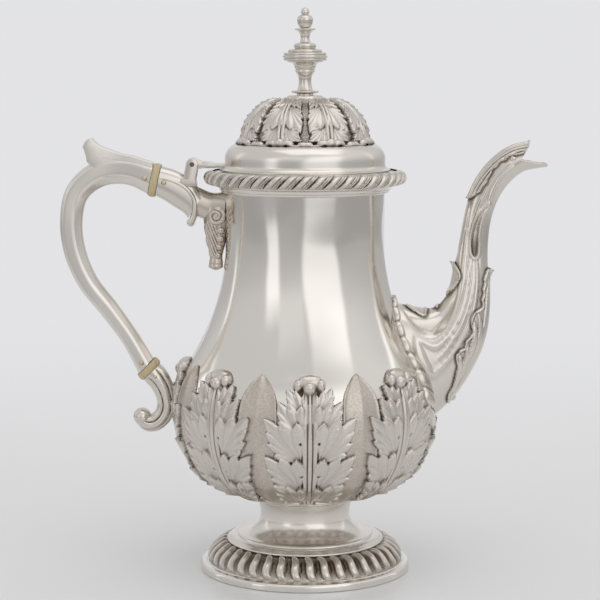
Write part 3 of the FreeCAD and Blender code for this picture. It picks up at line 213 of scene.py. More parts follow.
# %% [markdown]
# ## Tools of the bench
# Outlines are corners in millimetres. A third number bows the edge that arrives at a
# corner, to the right of its run, which is how a turner thinks of a moulding. A long
# straight gets a point near each end, so that smooth shading leaves its middle flat.

# %% Trace an outline
LONG = 2.0
NEAR_END = 0.5


def trace(corners, step):
    points = [tuple(corners[0][:2])]
    for before, corner in zip(corners, corners[1:]):
        start, end = np.array(before[:2], float), np.array(corner[:2], float)
        length = np.linalg.norm(end - start)
        bow = corner[2] if len(corner) == 3 else 0.0
        if bow:
            half = length / 2
            along = (end - start) / (2 * half)
            out = np.array((along[1], -along[0])) * math.copysign(1, bow)
            sweep = 2 * math.atan(abs(bow) / half)
            radius = half / math.sin(sweep)
            count = max(4, math.ceil(2 * radius * sweep / step))
            for share in range(1, count):
                angle = sweep * (2 * share / count - 1)
                lift = radius * (math.cos(angle) - math.cos(sweep))
                across = along * radius * math.sin(angle)
                points.append(tuple((start + end) / 2 + across + out * lift))
        elif length > LONG:
            for share in np.array((NEAR_END, length - NEAR_END)) / length:
                points.append(tuple(start + (end - start) * share))
        points.append(tuple(end))
    return points


# %% Put a piece on show
def link(name, data):
    piece = bpy.data.objects.new(name, data)
    bpy.context.scene.collection.objects.link(piece)
    return piece


def smooth_mesh(name, bm, finish):
    mesh = bpy.data.meshes.new(name)
    bm.to_mesh(mesh)
    bm.free()
    mesh.shade_smooth()
    mesh.materials.append(finish)
    return mesh


def show(name, bm, finish, body, nodes=(), crease=40, wall=0.0):
    mesh = smooth_mesh(name, bm, finish)
    mesh.set_sharp_from_angle(angle=math.radians(crease))
    piece = link(name, mesh)
    if wall:
        thick = piece.modifiers.new("wall", "SOLIDIFY")
        thick.thickness = wall * MM
        thick.offset = -1
    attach(piece, body)
    if nodes:
        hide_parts(*nodes)
    print(name, len(mesh.polygons), "faces")


def cast(name, bm, nodes=(), crease=40, finish=cast_silver, wall=0.0):
    show(name, bm, finish, "pot", nodes, crease, wall)


# %% Round sharp edges
def bevel(bm, edges, offset, segments):
    bmesh.ops.bevel(bm, geom=edges, offset=offset * MM, affect="EDGES", segments=segments,
                    profile=0.5, material=-1, clamp_overlap=True)


# %% Spin a turned piece
def turned(corners, steps=144, closed=True, edge=0.25, step=0.7):
    bm = bmesh.new()
    ring = [bm.verts.new((r * MM, 0, z * MM)) for r, z in trace(corners, step)]
    ends = ring[1:] + ring[:1] if closed else ring[1:]
    edges = [bm.edges.new(pair) for pair in zip(ring, ends)]
    bmesh.ops.spin(bm, geom=ring + edges, cent=(0, 0, 0), axis=(0, 0, 1), angle=TURN,
                   steps=steps, use_merge=True)
    bmesh.ops.remove_doubles(bm, verts=bm.verts, dist=1e-6)
    bmesh.ops.recalc_face_normals(bm, faces=bm.faces)
    if edge:
        sharp = [side for side in bm.edges
                 if len(side.link_faces) == 2 and side.calc_face_angle() > 0.6]
        bevel(bm, sharp, edge, 2)
    return bm


# %% [markdown]
# ## The foot
# The foot is built up from the table: a plain rim, a cast band of lobes, a stepped
# dome that draws in to a waist, and a collar. The real rings have one section all
# round, so the plain ones are spun from half outlines.

# %% Spin the plain parts of the foot
show("foot_rim", turned([
    (46.5, 0), (55.0, 0), (55.0, 2.3), (53.4, 3.96, 0.45), (51.9, 4.1), (51.4, 4.6), (46.5, 4.6),
]), plain_silver, "pot", ["foot_plinth"])
show("foot_dome", turned([
    (39.0, 14.6), (40.8, 14.6), (40.9, 15.7, 0.3), (40.0, 16.1), (35.4, 17.4, 0.7), (35.2, 18.2),
    (33.4, 18.5), (23.3, 27.2, -2.3), (25.4, 37.0, -0.62), (24.2, 37.0), (22.1, 27.2, 0.62),
    (32.0, 17.4, 2.3), (34.0, 16.9), (39.0, 14.6, -0.7),
], steps=160), worn_silver, "pot", ["foot_spool"])
show("collar", turned([
    (18.2, 37.0), (25.3, 37.0), (25.7, 40.8, 0.8), (18.2, 40.8),
]), plain_silver, "pot", ["foot_collar"])

# %% [markdown]
# ## Carved skins
# Leaves and lobes are reliefs: a number of millimetres above the form below. A flat
# grid is laid on the form, lifted by that relief, and trimmed where there is no leaf.
# The difference between the relief and its own blur tells where it is hollow.

# %% Blur and hollows
def blurred(height, times):
    for _ in range(times):
        wide = np.pad(height, 1, mode="edge")
        height = (wide[1:-1, 1:-1] * 2 + wide[:-2, 1:-1] + wide[2:, 1:-1]
                  + wide[1:-1, :-2] + wide[1:-1, 2:]) / 6
    return height


def ramp(value, low, high):
    share = np.clip((value - low) / (high - low), 0, 1)
    return share * share * (3 - 2 * share)


def bell(value, middle, half):
    return np.exp(-(((value - middle) / half) ** 2))


def hollow(height, times, full):
    return np.clip((blurred(height, times) - height) / full, 0, 1)


# %% Lay a grid on a form
def draped(across, along, lay):
    """lay takes two grids that run from 0 to 1 and gives x, y, z, recess and what stays."""
    u, v = np.meshgrid(np.linspace(0, 1, across + 1), np.linspace(0, 1, along + 1))
    x, y, z, recess, stays = lay(u, v)
    stays = np.broadcast_to(stays, u.shape)
    bm = bmesh.new()
    bmesh.ops.create_grid(bm, x_segments=across, y_segments=along, size=0.5)
    deep = bm.verts.layers.float.new("recess")
    bare = []
    for vert in bm.verts:
        column = round((vert.co.x + 0.5) * across)
        row = round((vert.co.y + 0.5) * along)
        vert.co = (x[row, column] * MM, y[row, column] * MM, z[row, column] * MM)
        vert[deep] = recess[row, column]
        if not stays[row, column]:
            bare.append(vert)
    bmesh.ops.delete(bm, geom=bare, context="VERTS")
    bmesh.ops.remove_doubles(bm, verts=bm.verts, dist=2e-6)
    return bm


# %% A profile to lay things on
class Profile:
    def __init__(self, corners):
        points = np.array(trace(corners, 0.2))
        run = np.concatenate(([0], np.cumsum(np.hypot(*np.diff(points, axis=0).T))))
        self.length = run[-1]
        self.run = np.linspace(0, self.length, int(self.length * 4) + 2)
        self.r = np.interp(self.run, run, points[:, 0])
        self.z = np.interp(self.run, run, points[:, 1])
        self.dr = np.gradient(self.r, self.run)
        self.dz = np.gradient(self.z, self.run)

    def at(self, t, angle, lift):
        r = np.interp(t, self.run, self.r) + lift * np.interp(t, self.run, self.dz)
        z = np.interp(t, self.run, self.z) - lift * np.interp(t, self.run, self.dr)
        return r * np.cos(angle), r * np.sin(angle), z


# %% [markdown]
# ## Gadroon borders
# Both borders are rings of slanting lobes with fine reeds between them. One lobe is a
# formula of its place in the pitch; the ring repeats it, so lobes need no copies.

# %% One pitch of a border
def lobe(place, middle, half):
    return np.sqrt(np.clip(1 - ((place - middle) / half) ** 2, 0, 1))


def border_ring(count, lean, sway, dark, pattern, form, rows, cuts):
    """lean and sway slant and curl the lobes, dark is the painted shade and tarnish between them.
    """
    def lay(u, v):
        place = (u * count + lean * (v - 0.5) + sway * np.sin(math.pi * (2 * v - 1))) % 1.0
        height = pattern(place, v)
        x, y, z = form(u * TURN, v, height)
        # The low places between the lobes get painted shade and tarnish.
        low = np.clip(dark - height * 1.3, 0, 1) * np.sin(math.pi * v) ** 0.5
        return x, y, z, low, True
    return draped(count * cuts, rows, lay)


# %% The foot's border
def foot_pattern(place, v):
    ends = np.clip(np.minimum(v, 1 - v) / 0.14, 0, 1) ** 0.5
    reeds = sum(lobe(place, middle, 0.05) for middle in (0.69, 0.81, 0.93))
    return np.maximum(lobe(place, 0.32, 0.3) * ends, 0.3 * reeds)


foot_band = Profile([(51.0, 4.6), (40.4, 14.8, 2.4)])


def foot_form(angle, v, height):
    return foot_band.at(v * foot_band.length, angle, -0.9 + 1.7 * height)


cast("foot_lobes", border_ring(40, 0.5, -0.1, 1.3, foot_pattern, foot_form, 28, 20),
     ["foot_gadroon"], 60)


# %% The border round the mouth
def rim_pattern(place, v):
    reeds = np.maximum(lobe(place, 0.7, 0.1), lobe(place, 0.89, 0.09))
    return np.maximum(lobe(place, 0.32, 0.28), 0.6 * reeds)


RIM_RADIUS = 47.5
RIM_MIDDLE = 205.0
RIM_HALF = 3.6


def rim_form(angle, v, height):
    swell = np.sin(math.pi * v) ** 0.7
    r = RIM_RADIUS + swell * (2.9 + 2.0 * height)
    return r * np.cos(angle), r * np.sin(angle), RIM_MIDDLE - RIM_HALF * np.cos(math.pi * v)


cast("rim_lobes", border_ring(42, -1.0, -0.08, 0.95, rim_pattern, rim_form, 26, 22),
     ["rim_gadroon"], 60)

# %% [markdown]
# ## The vessel
# The vessel is raised from sheet: a belly that turns under, a long S up to the neck,
# a moulding below the border. Solidify could give the sheet its wall. Here the inside is
# drawn and spun with the outside, as in the solid, because it is seen when the lid is up.

# %% Spin the vessel
SIDE = [(26.0, 40.8), (57.3, 54.0, 3.434), (67.6, 85.0, 2.642), (60.418, 109.3, 1.833),
        (41.0, 175.0, -4.957), (41.9, 208.0, -0.225)]
INSIDE = [(39.8, 208.0), (39.8, 175.0), (59.3, 109.0, 4.93), (66.4, 85.0, -1.77),
          (56.6, 55.0, -2.6), (26.0, 42.0, -3.3)]
show("vessel", turned([(0, 40.8)] + SIDE + INSIDE + [(0, 42.0)], 192, False, 0.2, 1.0),
     plain_silver, "pot", ["body_shell"])
show("neck_wire", turned([
    (40.9, 197.3), (42.4, 197.3), (43.6, 198.6, 0.5), (44.4, 198.9), (46.4, 200.7, -0.7),
    (47.4, 201.1), (47.4, 207.9), (40.9, 207.9),
], 160), worn_silver, "pot", ["neck_moulding"])

# %% [markdown]
# ## Acanthus
# An acanthus leaf is a stem with hands of pointed fingers climbing on both sides, each
# hand lying over the root of the next. A finger is a lens: high along its middle, cut
# off at its edge. The leaf is the highest of its lenses, like petals laid on a table.

# %% A finger and a hand
def finger(x, t, start, tip, half, low, high, crown):
    run = math.hypot(tip[0] - start[0], tip[1] - start[1])
    along = ((x - start[0]) * (tip[0] - start[0]) + (t - start[1]) * (tip[1] - start[1])) / run ** 2
    aside = ((x - start[0]) * (tip[1] - start[1]) - (t - start[1]) * (tip[0] - start[0])) / run
    share = np.clip(along, 0, 1)
    width = half * np.sin(math.pi * share ** 1.7) ** 0.8 + 1e-6
    inside = (np.abs(aside) < width) & (along > 0) & (along < 1)
    height = low + (high - low) * share ** 1.4 + crown * (1 - np.abs(aside / width) ** 1.7)
    return np.where(inside, height, -1.0)


# Each finger: degrees off the hand's heading, share of its reach, half width by reach.
HAND = [(33, 0.74, 0.125), (14, 0.84, 0.125), (0, 1, 0.125), (-9, 0.82, 0.085), (-19, 0.67, 0.08),
        (-31, 0.5, 0.075)]


def hand(x, t, base, tip, low, high, crown):
    reach = math.hypot(tip[0] - base[0], tip[1] - base[1])
    heading = math.atan2(tip[1] - base[1], tip[0] - base[0])
    inward = 1 if math.cos(heading) * math.sin(heading) > 0 else -1
    best = np.full(x.shape, -1.0)
    for turn, share, half in HAND:
        angle = heading + inward * math.radians(turn)
        stretch = reach * share
        point = (base[0] + stretch * math.cos(angle), base[1] + stretch * math.sin(angle))
        best = np.maximum(best, finger(x, t, base, point, half * reach, low, high, crown))
    return best


def dome(x, t, middle, across, along, high):
    reach = ((x - middle[0]) / across) ** 2 + ((t - middle[1]) / along) ** 2
    return np.where(reach < 1, high * np.sqrt(np.clip(1 - reach, 0, 1)), -1.0)


# %% The relief of one belly leaf
TIERS = [((4.2, 17), (19.6, 39)), ((4.6, 33), (22.8, 55)), ((4.6, 51), (22.2, 73.8)),
         ((4.2, 64.5), (16.2, 82)), ((3.4, 73.5), (11.6, 88.5))]
EYES = [(4.5, 43.5), (4.5, 61.5)]
BUD = [((0, 91.8), 7.9, 4.3, 4.1), ((6.0, 90.2), 2.7, 3.5, 4.4), ((0, 88.6), 3.8, 3.5, 5.0)]


def acanthus(x, t):
    side = np.abs(x) + 0.25 * np.sin(t * 0.5 + np.sign(x))
    width = np.interp(t, [6, 14, 30, 62, 80, 92], [6, 10, 13, 12, 9, 5])
    height = np.where((side < width) & (t > 6) & (t < 92), 0.25, -1.0)
    for base, tip in TIERS:
        height = np.maximum(height, hand(side, t, base, tip, 0.2, 2.5, 0.6))
    for eye in EYES:
        height = np.where(np.hypot(side - eye[0], (t - eye[1]) * 0.7) < 0.55, 0.1, height)
    near = np.abs(x)
    welt_line = 2.7 + 0.05 * np.clip(18 - t, 0, None) ** 2
    rod_half = np.interp(t, [8, 88], [1.5, 0.8])
    round_rod = 0.9 + lobe(near / rod_half, 0, 1.0)
    stem = np.maximum(round_rod, 1.0 + 0.4 * lobe(near, welt_line, 1.3))
    stem = np.where((near > rod_half) & (near < rod_half + 0.35), 0.75, stem)
    stem = np.where((near < welt_line + 1.0) & (t > 8) & (t < 88), stem, -1.0)
    height = np.where(stem > 0, np.where(near < welt_line, stem, np.maximum(stem, height)), height)
    for middle, across, along, high in BUD:
        height = np.maximum(height, dome(side, t, middle, across, along, high))
    return height


# %% Lay the eight leaves
belly = Profile(SIDE)
LEAVES = 8
LEAF_TURN = math.radians(2.0)
BELLY_RADIUS = 67.0
SPOUT_HALF = 27
SPOUT_FOOT = 80


def belly_leaf(angle, relief, half, low, high, across, along, room=True):
    """low and high are measured along the belly's side; room leaves out what the spout covers."""
    def lay(u, v):
        x = (u - 0.5) * 2 * half
        t = low + (high - low) * v
        height = relief(x, t)
        height = np.where(height > 0, height, -0.35)
        px, py, pz = belly.at(t, angle + x / BELLY_RADIUS, height)
        stays = blurred(np.where(height > -0.3, 1.0, 0.0), 1) > 0
        if room:
            stays &= ~((px > 0) & (np.abs(py) < SPOUT_HALF) & (pz > SPOUT_FOOT))
        # The recess number paints shade and tarnish into the hollows of the leaf, such as the foot
        # of each tier.
        recess = np.maximum(hollow(height, 12, 0.8), 0.7 * hollow(height, 40, 1.0))
        return px, py, pz, recess, stays
    return draped(across, along, lay)


def ring_of_leaves(name, node, start, relief, half, across, along, finish):
    for number in range(LEAVES):
        angle = LEAF_TURN + (number + start) * TURN / LEAVES
        bm = belly_leaf(angle, relief, half, 4.0, 97.0, across, along)
        nodes = [node] if number == 0 else []
        show("%s_%d" % (name, number), bm, finish, "pot", nodes, 75)


ring_of_leaves("acanthus", "acanthus_leaves", 0, acanthus, 25.0, 116, 210, leaf_silver)

# %% [markdown]
# ## Plain leaves
# Between the acanthus stand lance-shaped leaves, matted all over with a punch. They
# have a raised rim and a crease down the middle, and lie lower than their neighbours.
# The tool that laid the acanthus lays them too, with another relief.

# %% The relief of one plain leaf
# Each pair: how far up the belly's side, and half the leaf's width there.
LANCE = [(4, 5), (40, 9), (70, 10.4), (80, 10), (85.5, 8.6), (90, 5.9), (93.5, 3), (95.6, 0.1)]


def lance(x, t):
    width = np.interp(t, *zip(*LANCE))
    side = np.abs(x) / width
    crease = 0.9 * (1 - np.clip(side, 0, 1)) ** 2
    rim = 0.5 * bell((side - 0.93) * width, 0, 0.7)
    return np.where((side < 1) & (t > 4) & (t < 95.6), 0.5 + crease + rim, -1.0)


ring_of_leaves("plain_leaf", "plain_leaves", 0.5, lance, 11.5, 50, 180, ground_silver)

# %% [markdown]
# ## The lid
# The lid is spun like the vessel, with its ring that drops into the neck. Eight leaves
# hang down the dome, points outwards, on a punched ground. They could be eight sheets
# like the belly's, but one that goes all round carries the ground between them as well.

# %% Spin the lid
LID = 208.3
show("lid", turned([(r, z + LID, *bow) for r, z, *bow in [
    (44.0, 0), (44.0, 1.0), (41.4, 3.4, -0.7), (41.4, 6.3), (35.8, 14.0, 1.5), (35.5, 14.6),
    (31.0, 15.4, -0.5), (12.0, 36.0, 5.4), (1.6, 36.0), (1.6, 35.0), (11.6, 35.0),
    (30.0, 15.0, -5.4), (34.8, 13.0), (40.4, 5.9, -1.4), (40.4, 0),
]], 160), worn_silver, "lid", ["lid_shell"])
show("lid_ring", turned([(r, z + LID) for r, z in [
    (37.9, -7.0), (39.0, -7.0), (39.0, 0), (40.4, 0), (40.4, 4.2), (39.3, 4.2), (37.9, 0.8),
]], 128), plain_silver, "lid", ["lid_bezel"])


# %% The relief of the lid's leaves
LID_TIERS = [((1.9, 13.0), (9.2, 4.0)), ((1.9, 25.5), (8.8, 9.5)), ((1.8, 35.0), (8.2, 22.5))]
LID_CURLS = [((3.2, 2.2), 3.0, 2.3, 2.6), ((0, 2.6), 2.4, 2.6, 3.2), ((9.6, 2.2), 2.2, 2.0, 1.6)]


def lid_leaf(x, t):
    side = np.abs(x)
    height = np.full(x.shape, 0.0)
    for base, tip in LID_TIERS:
        height = np.maximum(height, hand(side, t, base, tip, 0.5, 2.1, 0.7))
    stem = np.where((side < 1.8) & (t > 3), 1.5 + 0.9 * lobe(side, 0.9, 0.8), 0.0)
    height = np.maximum(height, stem)
    for middle, across, along, high in LID_CURLS:
        height = np.maximum(height, dome(side, t, middle, across, along, high))
    return height


# %% Lay the lid's leaves
crown = Profile([(36.0, 222.4), (33.0, 223.2), (31.2, 224.2, -0.4), (12.0, 244.2, 5.4),
                 (9.4, 244.4)])
CROWN_RADIUS = 27.0


def lid_lay(u, v):
    t = v * crown.length
    fade = ramp(crown.length - t, 0.8, 8.0)
    pitch = TURN / LEAVES
    angle = u * TURN
    x = ((angle + pitch) % pitch - pitch / 2) * CROWN_RADIUS
    height = lid_leaf(x, t) * fade
    px, py, pz = crown.at(t, angle, height)
    punch = np.sin(x * 4.1 + np.sin(t * 2.3)) * np.sin(t * 4.7 + np.sin(x * 1.9))
    ground = (0.45 + 0.35 * punch) * (1 - ramp(height, 0.0, 0.25)) * fade
    # The recess number paints shade and tarnish into the hollows of the leaves, and darkens the
    # punched ground between them.
    return px, py, pz, np.maximum(hollow(height, 5, 0.6), ground), True


show("lid_leafwork", draped(576, 100, lid_lay), leaf_silver, "lid", ["lid_leaves"],
     75)

# %% [markdown]
# ## The finial
# Five small castings are threaded on one rod. They are turned from nearly the same
# outlines as the solids, with a fine bevel so that each edge catches the light.

# %% Spin the finial
def finial(name, node, base, corners, closed=True):
    raised = [(r, z + base, *bow) for r, z, *bow in corners]
    show(name, turned(raised, 96, closed, 0.15, 0.35), cast_silver, "lid", [node])


finial("finial_disc", "finial_plate", 244.3, [
    (1.6, 0), (9.2, 0), (9.2, 2.1, 0.5), (8.0, 2.7, 0.2), (1.6, 2.7)])
finial("finial_lower_stem", "finial_stem", 246.0, [
    (1.6, 0), (4.8, 0), (4.4, 1.9, -0.3), (6.7, 2.4), (6.7, 3.3, 0.35), (4.1, 3.7),
    (3.2, 8.9, -0.3), (4.7, 12.6, -0.35), (4.9, 13.6, 0.2), (5.4, 15.1, -0.2), (8.9, 17.9, -1.0),
    (9.3, 18.6), (1.6, 18.6)])
finial("finial_reeded_knop", "finial_knop", 264.6, [
    (1.6, 0), (10.5, 0), (10.7, 1.3, 0.5), (10.7, 2.9, 0.8), (10.3, 4.2, 0.5), (1.6, 4.2)])
finial("finial_upper_stem", "finial_spindle", 268.8, [
    (1.6, 0), (8.5, 0), (8.3, 1.5, 0.3), (5.1, 2.1), (5.1, 4.6, 0.6), (2.9, 5.1), (2.3, 8.1, -0.25),
    (4.6, 11.2, -0.5), (5.2, 11.5), (5.2, 12.2, 0.15), (0, 12.2)], False)
finial("finial_top", "finial_ball", 281.0, [
    (0, 0), (1.95, 0), (3.9, 3.38, 0.52), (1.47, 6.99, 1.16), (2.1, 8.49, 0.28),
    (0, 10.59, 0.62)], False)

# %% [markdown]
# ## Limbs
# Handle, sockets and spout are limbs: a section carried along a curve. Stations give
# the curve's place, its heading from upright, and the section's depth and width. A
# smooth line through the stations is read at every ring of the grid.

# %% A smooth line through stations
def eased(knots, values, at):
    slope = np.gradient(values, knots, axis=0)
    left = np.clip(np.searchsorted(knots, at) - 1, 0, len(knots) - 2)
    span = knots[left + 1] - knots[left]
    s = ((at - knots[left]) / span)[..., None]
    span = span[..., None]
    return ((2 * s ** 3 - 3 * s ** 2 + 1) * values[left]
            + (s ** 3 - 2 * s ** 2 + s) * span * slope[left]
            + (3 * s ** 2 - 2 * s ** 3) * values[left + 1]
            + (s ** 3 - s ** 2) * span * slope[left + 1])


# %% A limb that pieces can be laid on
class Limb:
    def __init__(self, stations, section):
        self.values = np.array(stations, float)
        steps = np.hypot(np.diff(self.values[:, 0]), np.diff(self.values[:, 1]))
        self.knots = np.concatenate(([0], np.cumsum(steps))) / steps.sum()
        self.section = section

    def at(self, u, v, lift=0.0):
        """u runs round the limb from its right side, v along it, lift stands off it."""
        line = eased(self.knots, self.values, v)
        x, z, heading, deep, wide = [line[..., k] for k in range(5)]
        heading = np.radians(heading)
        angle = u * TURN
        reach = self.section(angle)
        across = deep * reach * np.cos(angle) + lift * np.cos(angle)
        y = wide * reach * np.sin(angle) + lift * np.sin(angle)
        return x + across * np.cos(heading), y, z - across * np.sin(heading)


def superoval(power):
    def section(angle):
        total = np.abs(np.cos(angle)) ** power + np.abs(np.sin(angle)) ** power
        return 0.5 * total ** (-1 / power)
    return section


def panels(corners, sharp):
    """A rounded polygon as a distance from the middle in each direction."""
    faces = []
    for (x0, y0), (x1, y1) in zip(corners, corners[1:] + corners[:1]):
        normal = np.array((y1 - y0, x0 - x1)) / math.hypot(x1 - x0, y1 - y0)
        faces.append((normal, normal @ np.array((x0, y0))))

    def section(angle):
        total = 0
        for normal, distance in faces:
            part = (normal[0] * np.cos(angle) + normal[1] * np.sin(angle)) / distance
            total = total + np.clip(part, 0, None) ** sharp
        return total ** (-1 / sharp)
    return section


# %% Make a limb into a mesh
def limb_mesh(limb, around, rings, relief=None, caps=True, dirt_and_shade=None):
    def lay(u, v):
        lift = relief(u, v) if relief else np.zeros_like(u)
        x, y, z = limb.at(u, v, lift)
        # A limb without its own darkening gets painted shade and tarnish in the hollows of its
        # relief.
        recess = dirt_and_shade(u, v) if dirt_and_shade else hollow(lift, 3, 0.5)
        return x, y, z, recess, True
    bm = draped(around, rings, lay)
    if caps:
        ends = [edge for edge in bm.edges if edge.is_boundary]
        bmesh.ops.holes_fill(bm, edges=ends, sides=0)
        bmesh.ops.recalc_face_normals(bm, faces=bm.faces)
    return bm


# %% [markdown]
# ## The handle
# The grip is a hollow scroll with a narrow back, two flat sides and a narrow inner
# face; the ridges between them are soft from long polishing. A curve with a bevel object
# could sweep it, but on a limb the depth and the width can change apart.

# %% Sweep the grip
GRIP = [(-79.6, 204, -77.6, 15.5, 12.6), (-90.4, 207.9, -85, 13.9, 11.8),
        (-106.7, 206.4, -117, 13.5, 11.1), (-117.1, 197.7, -149, 12.4, 10.7),
        (-120.9, 181.9, -180, 11.6, 10.5), (-119.7, 168.3, -190, 11.3, 10.3),
        (-113.4, 151.8, -207, 10.7, 10), (-101, 135.3, -220, 10.1, 9.8),
        (-91, 121.1, -221, 9.7, 9.7), (-83, 106.6, -224.6, 11, 10)]
grip = Limb(GRIP, panels([(-0.5, -0.2), (-0.5, 0.2), (-0.16, 0.5), (0.37, 0.5), (0.5, 0.24),
                          (0.5, -0.24), (0.37, -0.5), (-0.16, -0.5)][::-1], 20))
show("grip", limb_mesh(grip, 96, 150), worn_silver, "pot", ["handle_grip"], 60)

# %% [markdown]
# ## The thumb rest
# A moulding rises along the handle's shoulder and ends in a spur for the thumb. It is
# a plate cut to its side view, then bevelled heavily until the edges roll over.

# %% Cut and round a plate
def plate(outline, half, edge, segments=3, middle=0.0):
    bm = bmesh.new()
    y = (middle - half) * MM
    corners = trace(outline + outline[:1], 1.0)[:-1]
    face = bm.faces.new([bm.verts.new((x * MM, y, z * MM)) for x, z in corners])
    grown = bmesh.ops.extrude_face_region(bm, geom=[face])["geom"]
    moved = [item for item in grown if isinstance(item, bmesh.types.BMVert)]
    bmesh.ops.translate(bm, verts=moved, vec=(0, 2 * half * MM, 0))
    bmesh.ops.recalc_face_normals(bm, faces=bm.faces)
    rims = [side for side in bm.edges if side.calc_face_angle(0) > 1.2]
    bevel(bm, rims, edge, segments)
    bmesh.ops.triangulate(bm, faces=[f for f in bm.faces if len(f.verts) > 4])
    return bm


show("thumb_spur", plate([
    (-78.4, 204.0), (-78.2, 212.7), (-89.4, 216.2), (-101.8, 219.8, -0.5), (-109.8, 225.2, -0.9),
    (-114.0, 220.7, 1.1), (-112.0, 213.0, -0.3), (-104.0, 205.0)], 5.5, 3.4, 7),
     worn_silver, "pot", ["thumb_rest"], 50)

# %% [markdown]
# ## The pale rings
# Each end of the grip meets its socket in a pale ring that keeps the heat from the hand.
# The rings aren't quite round, so they can't be spun: each is a short limb, swollen like
# a tyre, with worn, darker edges.

# %% Make the two rings
def ring_wear(u, v):
    return np.clip(1 - np.minimum(v, 1 - v) / 0.12, 0, 1)


def ring_edge(u, v):
    return 0.9 * lobe(v, 0.5, 0.5) - 0.7


upper_ring = Limb([(-79.6, 204.0, 102.4, 17.2, 14.4), (-77.55, 203.55, 102.4, 17.3, 14.4),
                   (-75.5, 203.1, 102.4, 17.2, 14.4)], superoval(2.6))
lower_ring = Limb([(-83.0, 106.6, 135.4, 13.4, 12.2), (-81.5, 105.1, 135.4, 13.4, 12.2),
                   (-80.05, 103.6, 135.4, 13.4, 12.2)], superoval(2.4))
for end, ring in (("upper", upper_ring), ("lower", lower_ring)):
    bm = limb_mesh(ring, 72, 28, ring_edge, True, ring_wear)
    show("pale_ring_" + end, bm, ring_finish, "pot", [end + "_insulator"])

# %% [markdown]
# ## The lower socket
# The handle's foot is a reeded scroll: three reeds a side run down from the ring, turn
# outwards under the belly and roll up in a ball. The reeds are relief on one limb, so
# they narrow with it and need no rods of their own.

# %% Sweep the lower socket
FOOT = [(-80.1, 103.6, 135.4, 12, 11), (-76.2, 99, 143, 11.2, 10.4), (-73.2, 92.4, 162, 10.2, 9.8),
        (-72.5, 85.8, 185, 9.4, 9.4), (-74.6, 80, 213, 8.8, 9.2), (-79.2, 76.5, 247, 8.6, 9.2),
        (-84, 76.9, 280, 8.2, 9.2), (-86.6, 79.6, 318, 6.2, 8.4)]


def foot_reeds(u, v):
    fade = ramp(v, 0.0, 0.07) * (1 - ramp(v, 0.84, 0.95))
    return 1.5 * fade * (lobe((u * 6 + v * 0.3) % 1.0, 0.5, 0.5) - 0.7)


def foot_dirt_and_shade(u, v):
    # Painted shade and tarnish in the grooves between the reeds.
    return np.clip(-1.1 * foot_reeds(u, v), 0, 0.9)


cast("lower_scroll", limb_mesh(Limb(FOOT, superoval(2.2)), 144, 90, foot_reeds, True, foot_dirt_and_shade),
     ["lower_socket"], 60)


def ball(place, radius, stretch):
    bm = bmesh.new()
    bmesh.ops.create_uvsphere(bm, u_segments=40, v_segments=24, radius=radius * MM)
    bmesh.ops.scale(bm, verts=bm.verts, vec=stretch)
    bmesh.ops.translate(bm, verts=bm.verts, vec=[part * MM for part in place])
    return bm


cast("lower_ball", ball((-85.2, 0, 79.7), 4.7, (1, 1.15, 1)))

# %% [markdown]
# ## The upper socket
# Seen from the side the upper socket is a smooth block that ends in a C-shaped wire.
# Behind it a darker throat reaches the neck, with a volute on each cheek and a
# tapering drop below. The wire, the volutes and the fine ridge of the thumb rest are
# rods bent in the side view. The wire and the ridge are a little wider than the piece
# they lie on, so they show on both its sides.

# %% Bend a rod
def rod(path, radii, width=None, rings=80, around=20):
    path = np.array(path, float)
    run = np.gradient(path, axis=0)
    heading = np.degrees(np.unwrap(np.arctan2(run[:, 0], run[:, 1])))
    wide = 2 * radii if width is None else np.full(len(path), width)
    stations = np.column_stack((path, heading, 2 * radii, wide))
    return limb_mesh(Limb(stations, superoval(2.0 if width is None else 3.2)), around, rings)


def smooth_path(points, count=40):
    points = np.array(points, float)
    steps = np.hypot(*np.diff(points, axis=0).T)
    knots = np.concatenate(([0], np.cumsum(steps)))
    return eased(knots, points, np.linspace(0, knots[-1], count))


# %% Make the socket, its wire and the ridge
SOCKET = [(-75.6, 203.1, 102.4, 15.6, 12.8), (-70, 200.9, 108, 16.6, 12.6),
          (-64, 197.4, 114, 17, 12), (-59, 193.4, 118, 15.6, 11.4), (-56.4, 190, 124, 14.6, 11)]
cast("socket_block", limb_mesh(Limb(SOCKET, superoval(2.7)), 80, 40), ["upper_socket"], 50)
WIRE = smooth_path([(-75.2, 204.9), (-70.4, 204), (-64.8, 201.9), (-60.2, 198.6), (-57.4, 194.3),
                    (-56.8, 189.6), (-57.3, 185.2), (-58.8, 181.8)])
RIDGE = smooth_path([(-79, 210.4), (-84, 212), (-91.6, 213.6), (-101, 214.9), (-106.2, 216),
                     (-107.9, 218.2), (-108.7, 220.6)])
cast("thumb_ridge", rod(RIDGE, np.full(40, 0.45), 11.5), (), 50, worn_silver)
cast("socket_wire", rod(WIRE, np.linspace(1.1, 1.9, 40), 13.4), ["upper_socket_scroll"], 60)
cast("socket_wire_end", ball((-59.0, 0, 181.6), 2.3, (1, 2.9, 1)))

# %% Make the throat and the drop
THROAT = [(-62.5, 196.5, 112, 13.5, 10.4), (-55.5, 192.4, 112, 14, 9.6),
          (-49, 189.8, 100, 14.6, 9.2), (-41.2, 189.2, 92, 16.4, 10.4)]
cast("socket_throat", limb_mesh(Limb(THROAT, superoval(2.3)), 72, 40), finish=dark_silver)
DROP = [(-45.8, 190, 178, 12.5, 10.4), (-46.1, 184, 178, 13, 10.6), (-46.1, 178, 177, 11.6, 9.8),
        (-46, 170, 178, 9.4, 8), (-46.1, 163.5, 180, 6.6, 6.2), (-46.2, 160.2, 181, 7.2, 6.6),
        (-46.4, 157.6, 182, 5.6, 5), (-46.4, 156.8, 182, 1.6, 1.6)]
drop = Limb(DROP, superoval(2.2))
HUSKS = [(-43.4, 177.6, 1.7), (-43.6, 173.2, 1.6), (-44.4, 168.8, 1.5), (-45.0, 164.6, 1.4)]


